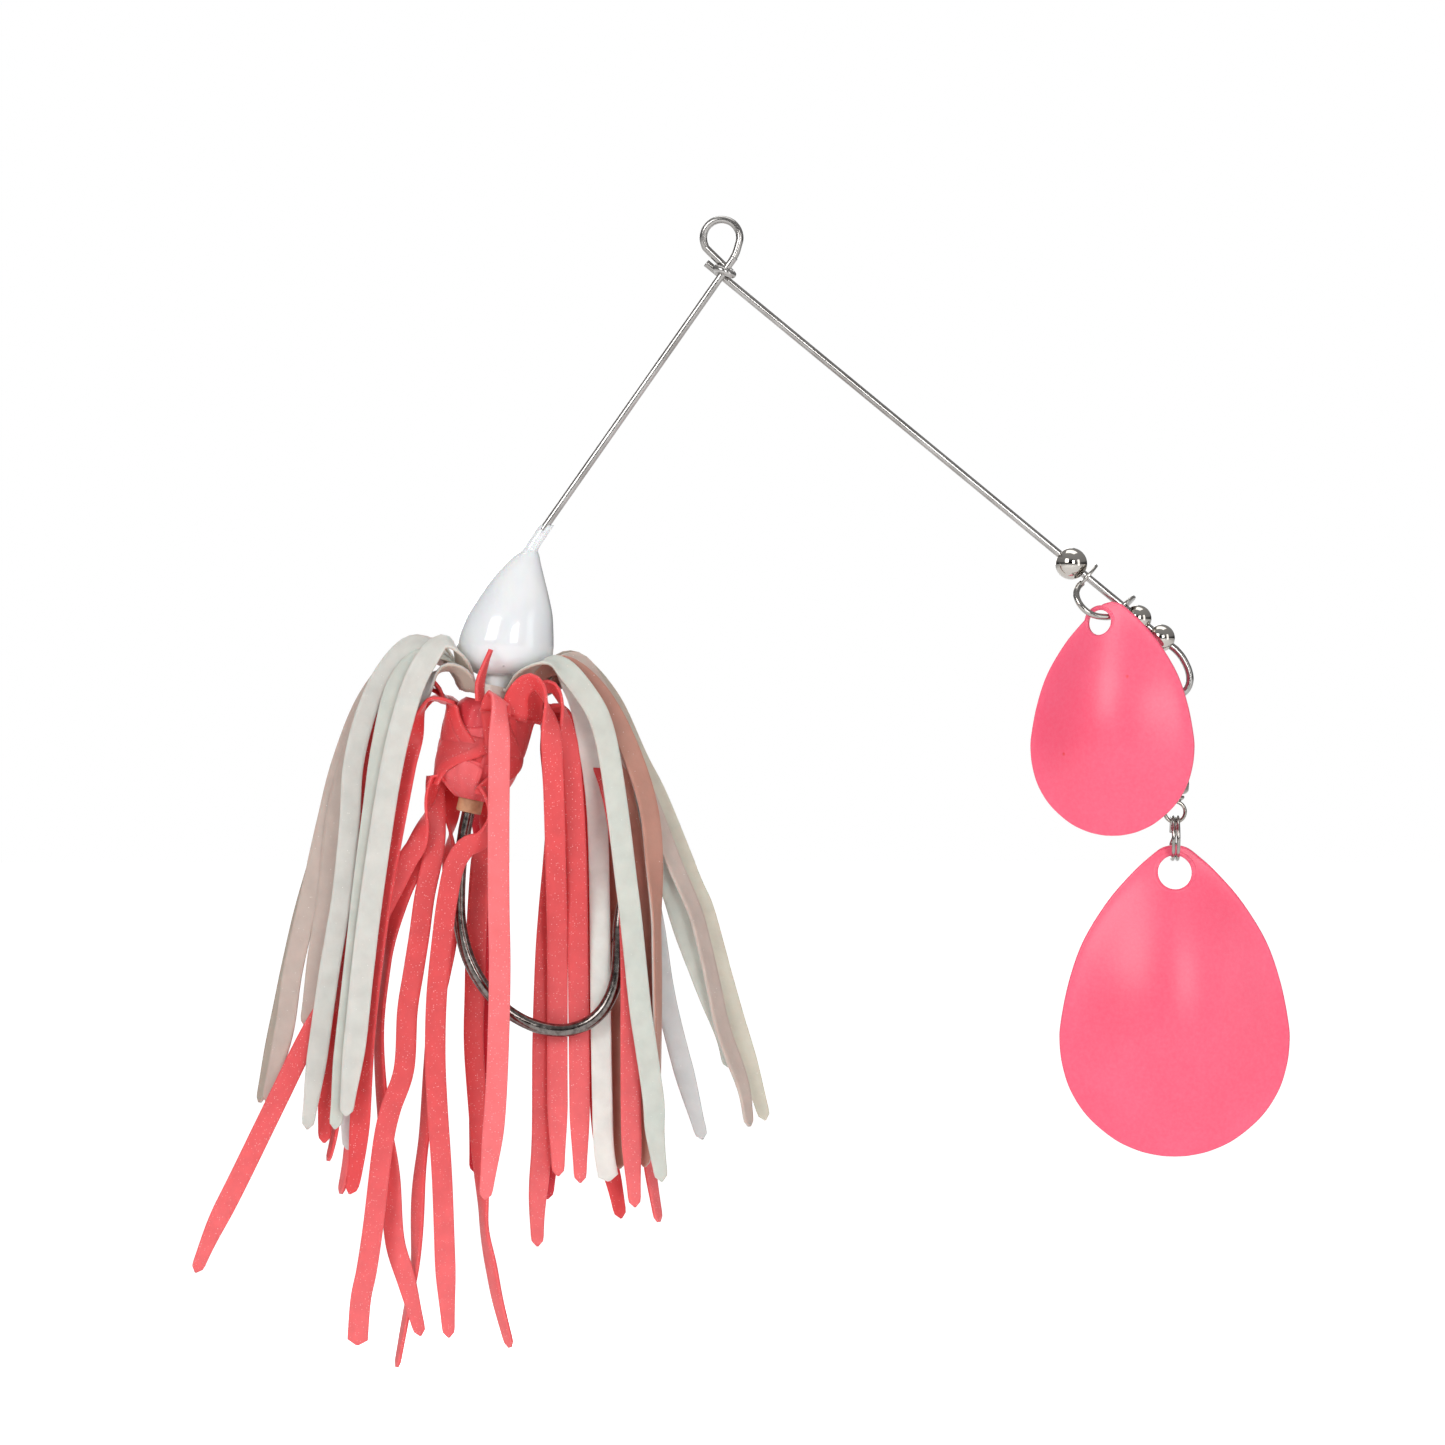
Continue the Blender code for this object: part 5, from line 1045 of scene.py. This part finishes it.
def blade_shell(blade):
    """A cupped shell with a rounded rim, from the deepest point of the cup out."""
    scale = blade["scale"]
    at_hole = cup_height(blade, 1 - BLADE_HOLE_DOWN / BLADE_CUP_DOWN)
    right = [p[:2] for p in smooth_points([(w, d, 0) for d, w in BLADE_OUTLINE], 110)]
    outline = right + [np.array((-p[0], p[1])) for p in reversed(right[1:-1])]
    cup = np.array((0.0, BLADE_CUP_DOWN))
    count = len(outline)
    thick = blade["thick"] / 2
    rounding = [corner_rounding(point, cup) for point in outline]
    layers = []
    for k in range(1, BLADE_RINGS + 1):
        share = (k / BLADE_RINGS) ** 0.85
        layers.append((min(share, 0.985), 1.0))
    for k in range(1, 8):
        turn = math.pi * k / 8
        layers.append((0.985 + 0.015 * math.sin(turn), math.cos(turn)))
    layers += [(share, -1.0) for share, _ in reversed(layers[:BLADE_RINGS])]
    verts = []
    for share, side in layers:
        for point, corner in zip(outline, rounding):
            height = cup_height(blade, min(1.0, share), corner) - at_hole + side * thick
            flat = (cup + (point - cup) * share) * scale
            verts.append((flat[0] - blade["across"], flat[1] - BLADE_HOLE_DOWN * scale, height))
    faces = grid_faces(len(layers), count)
    for side, ring in ((1, 0), (-1, len(layers) - 1)):
        verts.append((-blade["across"], (BLADE_CUP_DOWN - BLADE_HOLE_DOWN) * scale,
                      blade["cup"] - at_hole + side * thick))
        middle = len(verts) - 1
        faces += [(middle, ring * count + k, ring * count + (k + 1) % count) for k in range(count)]
    return [blade_matrix(blade) @ Vector(v) for v in verts], faces


def drilled(item, shape):
    """Cuts another mesh, in world millimetres, out of a piece and applies the cut."""
    cutter = bpy.data.objects.new("cutter", bpy.data.meshes.new("cutter"))
    cutter.data.from_pydata([tuple(c * MM for c in v) for v in shape[0]], [], shape[1])
    bpy.context.scene.collection.objects.link(cutter)
    modifier = item.modifiers.new("hole", "BOOLEAN")
    modifier.operation = "DIFFERENCE"
    modifier.solver = "EXACT"
    modifier.object = cutter
    bpy.context.view_layer.update()
    cut = bpy.data.meshes.new_from_object(item.evaluated_get(bpy.context.evaluated_depsgraph_get()))
    item.modifiers.clear()
    item.data = cut
    bpy.data.objects.remove(cutter, do_unlink=True)


def hole_cutter(blade):
    outline = [(0.0001, -4), (blade["hole_r"], -4), (blade["hole_r"], 4), (0.0001, 4)]
    return lathe_shell(outline, blade_matrix(blade), 72)


def hole_lip(name, blade, paint):
    """The thick soft edge that the paint leaves round the hole, on both faces."""
    matrix = blade_matrix(blade)
    radius = blade["thick"] / 2 + 0.04
    points = []
    count = 72
    for k in range(count):
        turn = TURN * k / count
        reach = blade["hole_r"] + radius - 0.02
        across, down = reach * math.cos(turn), reach * math.sin(turn)
        points.append(matrix @ Vector((across, down, sheet_height(blade, across, down))))
    verts, faces = tube_shell([tuple(p) for p in points], [radius] * count, 16, closed=True)
    mesh_object(name + "_lip", verts, faces, name, (name,), name[6:] + "_blade_paint", paint)


def sheet_height(blade, across, down):
    """Height of the sheet's middle at a point near the hole, over its height at the hole."""
    cup = np.array((0.0, BLADE_CUP_DOWN))
    at_hole = cup_height(blade, 1 - BLADE_HOLE_DOWN / BLADE_CUP_DOWN)
    point = np.array(((across + blade["across"]) / blade["scale"], down / blade["scale"] + BLADE_HOLE_DOWN))
    direction = point - cup
    low, high = 0.5, 3.0
    for _ in range(30):
        middle = (low + high) / 2
        reach = cup + direction * middle
        if outline_width(reach[1]) > abs(reach[0]):
            low = middle
        else:
            high = middle
    corner = corner_rounding(cup + direction * low, cup)
    return cup_height(blade, 1 / low, corner) - at_hole


def outline_width(down):
    """Half width of the outline at a distance from the top; negative beyond either end."""
    if down <= 0 or down >= BLADE_OUTLINE[-1][0]:
        return -1.0
    for (d0, w0), (d1, w1) in zip(BLADE_OUTLINE, BLADE_OUTLINE[1:]):
        if down <= d1:
            return w0 + (w1 - w0) * (down - d0) / (d1 - d0)
    return -1.0


def blade_paint(name, tone, low, speck_chance):
    s = Shader(name, roughness=0.3)
    grain = s.noise(2600, 5, 0.65)
    cloud = s.noise(90, 3)
    base = s.ramp(cloud, [(0.3, low), (0.7, tone)])
    base = s.mix(s.range(grain, 0.35, 0.7, 0.0, 0.10), base, (1.0, 0.42, 0.52))
    spot, _ = s.spots(420, speck_chance, 0.06, 0.13)
    s.into("Base Color", s.mix(spot, base, (0.9, 0.05, 0.06)))
    s.into("Roughness", s.range(grain, 0.3, 0.7, 0.34, 0.46))
    peel = s.bump(s.noise(1500, 4, 0.6), 0.00006, 0.5)
    s.into("Normal", s.bump(grain, 0.000025, 0.5, s.bump(spot, 0.0001, 0.6, peel)))
    s.set("Specular IOR Level", 0.45)
    s.set("Coat Weight", 0.3)
    s.set("Coat Roughness", 0.3)
    return s.material


def build_blades():
    tone = (1.0, 0.115, 0.215)
    low = (0.98, 0.09, 0.18)
    for name, blade, paint in (("blade_large", LARGE, blade_paint("large_paint", tone, low, 0.025)),
                               ("blade_small", SMALL, blade_paint("small_paint", tone, low, 0.05))):
        verts, faces = blade_shell(blade)
        item = mesh_object(name + "_cup", verts, faces, name, (name,), name[6:] + "_blade_paint", paint)
        drilled(item, hole_cutter(blade))
        hole_lip(name, blade, paint)


# ---------------------------------------------------------------- swivel and split ring
SWIVEL_X = 53.5
UPPER_EYE_Z = -54.4
LOWER_EYE_Z = -67.7
SWIVEL_EYE_R = 1.2
SWIVEL_EYE_WIRE = 0.22
PIN_R = 0.5
BARREL_R = 1.65
BARREL_TOP = -59.4
BARREL_BOTTOM = -65.6
RING_CENTRE = Vector((53.5, 0.0, -70.8))
RING_R = 2.5
RING_WIRE = 0.22
RING_COIL = 0.28
RING_RAMP = math.radians(30)


def swivel_eye(name, height, direction, face, across, material):
    """The ring, and the shoulder and pin that run into the barrel."""
    points = []
    for k in range(72):
        turn = TURN * k / 72
        points.append(np.array((SWIVEL_X, 0, height)) + SWIVEL_EYE_R
                      * (np.array(across) * math.cos(turn) + np.array((0, 0, 1.0)) * math.sin(turn)))
    normal = np.cross(across, (0, 0, 1.0))
    verts, faces = tube_shell(points, [SWIVEL_EYE_WIRE] * 72, 18, first=normal, closed=True)
    reach = abs(face - height)
    start = SWIVEL_EYE_R - 0.05
    span = reach - 0.2 - start
    shares = [(0.45, 0.0), (0.62, 0.1), (0.85, 0.3), (1.08, 0.55), (1.12, 0.8), (1.05, 1.0)]
    profile = smooth_points([(r, start + span * share, 0) for r, share in shares], 24)
    outline = [(0.0001, start)] + [(r, d) for r, d, _ in profile]
    outline += [(PIN_R, reach - 0.15), (PIN_R, reach + 0.6), (0.0001, reach + 0.6)]
    matrix = frame_matrix(Vector((SWIVEL_X, 0, height)), Vector((1, 0, 0)), Vector((0, direction, 0)),
                          Vector((0, 0, direction)))
    more, rings = lathe_shell(outline, matrix, 48)
    faces += [tuple(v + len(verts) for v in ring) for ring in rings]
    mesh_object(name + "_wire", verts + more, faces, name, (name,), "swivel_nickel", material)


def build_swivel():
    shine = steel("swivel_nickel", (0.52, 0.49, 0.45), 0.16, 0.3, 3000, dark=(0.3, 0.27, 0.24))
    swivel_eye("swivel_eye_upper", UPPER_EYE_Z, -1, BARREL_TOP, (0, 1.0, 0), shine)
    swivel_eye("swivel_eye_lower", LOWER_EYE_Z, 1, BARREL_BOTTOM, (1.0, 0, 0), shine)
    top, bottom, r = BARREL_TOP, BARREL_BOTTOM, BARREL_R
    profile = smooth_points([(PIN_R + 0.08, bottom, 0), (r - 0.5, bottom, 0), (r - 0.1, bottom + 0.3, 0),
                             (r, bottom + 0.8, 0), (r, bottom + 1.5, 0), (r - 0.12, bottom + 1.7, 0),
                             (r, bottom + 1.9, 0), (r, top - 1.5, 0), (r, top - 0.8, 0),
                             (r - 0.1, top - 0.3, 0), (r - 0.5, top, 0), (PIN_R + 0.08, top, 0)], 80)
    inner = r - 0.55
    outline = [(a, b) for a, b, _ in profile]
    outline += [(PIN_R + 0.08, top - 0.5), (inner, top - 0.55), (inner, bottom + 0.55),
                (PIN_R + 0.08, bottom + 0.5)]
    verts, faces = lathe_shell(outline, Matrix.Translation((SWIVEL_X, 0, 0)), 72)
    mesh_object("swivel_body", verts, faces, "swivel_barrel", ("swivel_barrel",), "swivel_nickel", shine)


def build_ring():
    """Two flat turns of wire, joined by a short ramp at the back."""
    shine = steel("ring_nickel", (0.5, 0.48, 0.45), 0.12, 0.2, 3000, dark=(0.32, 0.3, 0.28))
    points = []
    steps = 220
    for k in range(steps + 1):
        turn = RING_RAMP / 2 + (2 * TURN - RING_RAMP) * k / steps
        past = min(1.0, max(0.0, (turn - TURN + RING_RAMP / 2) / RING_RAMP))
        offset = Vector((RING_COIL * (2 * past - 1), RING_R * math.cos(turn), RING_R * math.sin(turn)))
        points.append(RING_CENTRE + offset)
    tube_object("ring_wire", [tuple(p) for p in points], RING_WIRE, 16, "split_ring", ("split_ring",),
                "ring_nickel", shine, first=(1, 0, 0))


# ---------------------------------------------------------------- camera, light and floor
def build_camera():
    data = bpy.data.cameras.new("camera")
    data.lens = LENS
    data.sensor_width = SENSOR
    data.clip_start = 0.01
    data.clip_end = 50
    camera = bpy.data.objects.new("camera", data)
    camera.location = (VIEW_CENTRE[0] * MM, -FRAME_WIDTH * MM * LENS / SENSOR, VIEW_CENTRE[1] * MM)
    camera.rotation_euler = (math.pi / 2, 0, 0)
    bpy.context.scene.collection.objects.link(camera)
    bpy.context.scene.camera = camera


WORLD_STRENGTH = 0.36
# the grey that metal reflects, from straight below (0) through a dark horizon to straight above (1)
WORLD_BANDS = [(0.0, (0.75, 0.75, 0.75)), (0.40, (0.62, 0.62, 0.6324)), (0.47, (0.10, 0.10, 0.102)),
               (0.53, (0.10, 0.10, 0.102)), (0.60, (0.7, 0.7, 0.714)), (1.0, (1.0, 1.0, 1.0))]
# name, place, size and power of each area light, which faces the middle of the object
LIGHTS = [("key", (-0.42, -0.62, 0.26), (0.34, 0.34), 2.4),
          ("front", (0.22, -0.73, 0.12), (0.2, 0.26), 1.4),
          ("fill", (0.62, -0.42, 0.02), (0.22, 0.55), 0.6),
          ("top", (0.05, 0.1, 0.6), (0.6, 0.4), 1.2),
          ("back", (-0.15, 0.75, 0.15), (0.5, 0.4), 1.3)]
LIGHT_TARGET = (0.0, 0.0, -0.065)
FLOOR_GLOW = 0.88               # to the eye; the object gets less of it
FLOOR_BOUNCE = 0.22
FLOOR_HEIGHT = -0.19
FLOOR_R = 6.0


def build_world():
    """White to the eye, and a soft studio with a darker horizon in what the metal reflects."""
    world = bpy.data.worlds.new("studio")
    bpy.context.scene.world = world
    world.use_nodes = True
    n = Nodes(world.node_tree)
    n.tree.nodes.clear()
    direction = n.node("SeparateXYZ")
    n.link(n.node("TexCoord").outputs["Generated"], direction.inputs[0])
    sky = n.ramp(n.range(direction.outputs["Z"], -1.0, 1.0, 0.0, 1.0), WORLD_BANDS)
    behind = n.range(direction.outputs["Y"], -0.97, -0.78, 0.06, 1.0, interpolation_type="SMOOTHSTEP")
    lit = n.node("Background", Strength=WORLD_STRENGTH)
    n.link(n.mix(1.0, sky, behind, "MULTIPLY"), lit.inputs["Color"])
    seen = n.node("Background", Color=(1, 1, 1, 1))
    either = n.node("MixShader")
    n.link(n.node("LightPath").outputs["Is Camera Ray"], either.inputs[0])
    n.link(lit.outputs[0], either.inputs[1])
    n.link(seen.outputs[0], either.inputs[2])
    n.link(either.outputs[0], n.node("OutputWorld").inputs["Surface"])


def add_light(name, place, size, power):
    data = bpy.data.lights.new(name, "AREA")
    data.shape = "RECTANGLE"
    data.size, data.size_y = size
    data.energy = power
    light = bpy.data.objects.new(name, data)
    light.location = place
    direction = Vector(LIGHT_TARGET) - Vector(place)
    light.rotation_euler = direction.to_track_quat("-Z", "Y").to_euler()
    bpy.context.scene.collection.objects.link(light)


def build_stage():
    build_world()
    for light in LIGHTS:
        add_light(*light)
    bm = bmesh.new()
    bmesh.ops.create_circle(bm, cap_ends=True, segments=96, radius=FLOOR_R)
    mesh = bpy.data.meshes.new("floor")
    bm.to_mesh(mesh)
    bm.free()
    floor = bpy.data.objects.new("floor", mesh)
    floor.location = (0, 0, FLOOR_HEIGHT)
    paper = Shader("pale_paper", (0.93, 0.93, 0.93), 0.9)
    paper.into("Normal", paper.bump(paper.noise(60, 4), 0.0004, 0.1))
    paper.set("Emission Color", (1, 1, 1, 1))
    seen = paper.node("LightPath").outputs["Is Camera Ray"]
    paper.into("Emission Strength", paper.range(seen, 0.0, 1.0, FLOOR_BOUNCE, FLOOR_GLOW))
    mesh.materials.append(paper.material)
    bpy.context.scene.collection.objects.link(floor)
    bpy.context.scene.view_settings.view_transform = "Standard"


build_camera()
build_stage()
build_strands()
build_wire()
build_hook()
build_head()
build_holders()
build_hub()
build_tab()
build_beads()
build_clevis()
build_blades()
build_swivel()
build_ring()
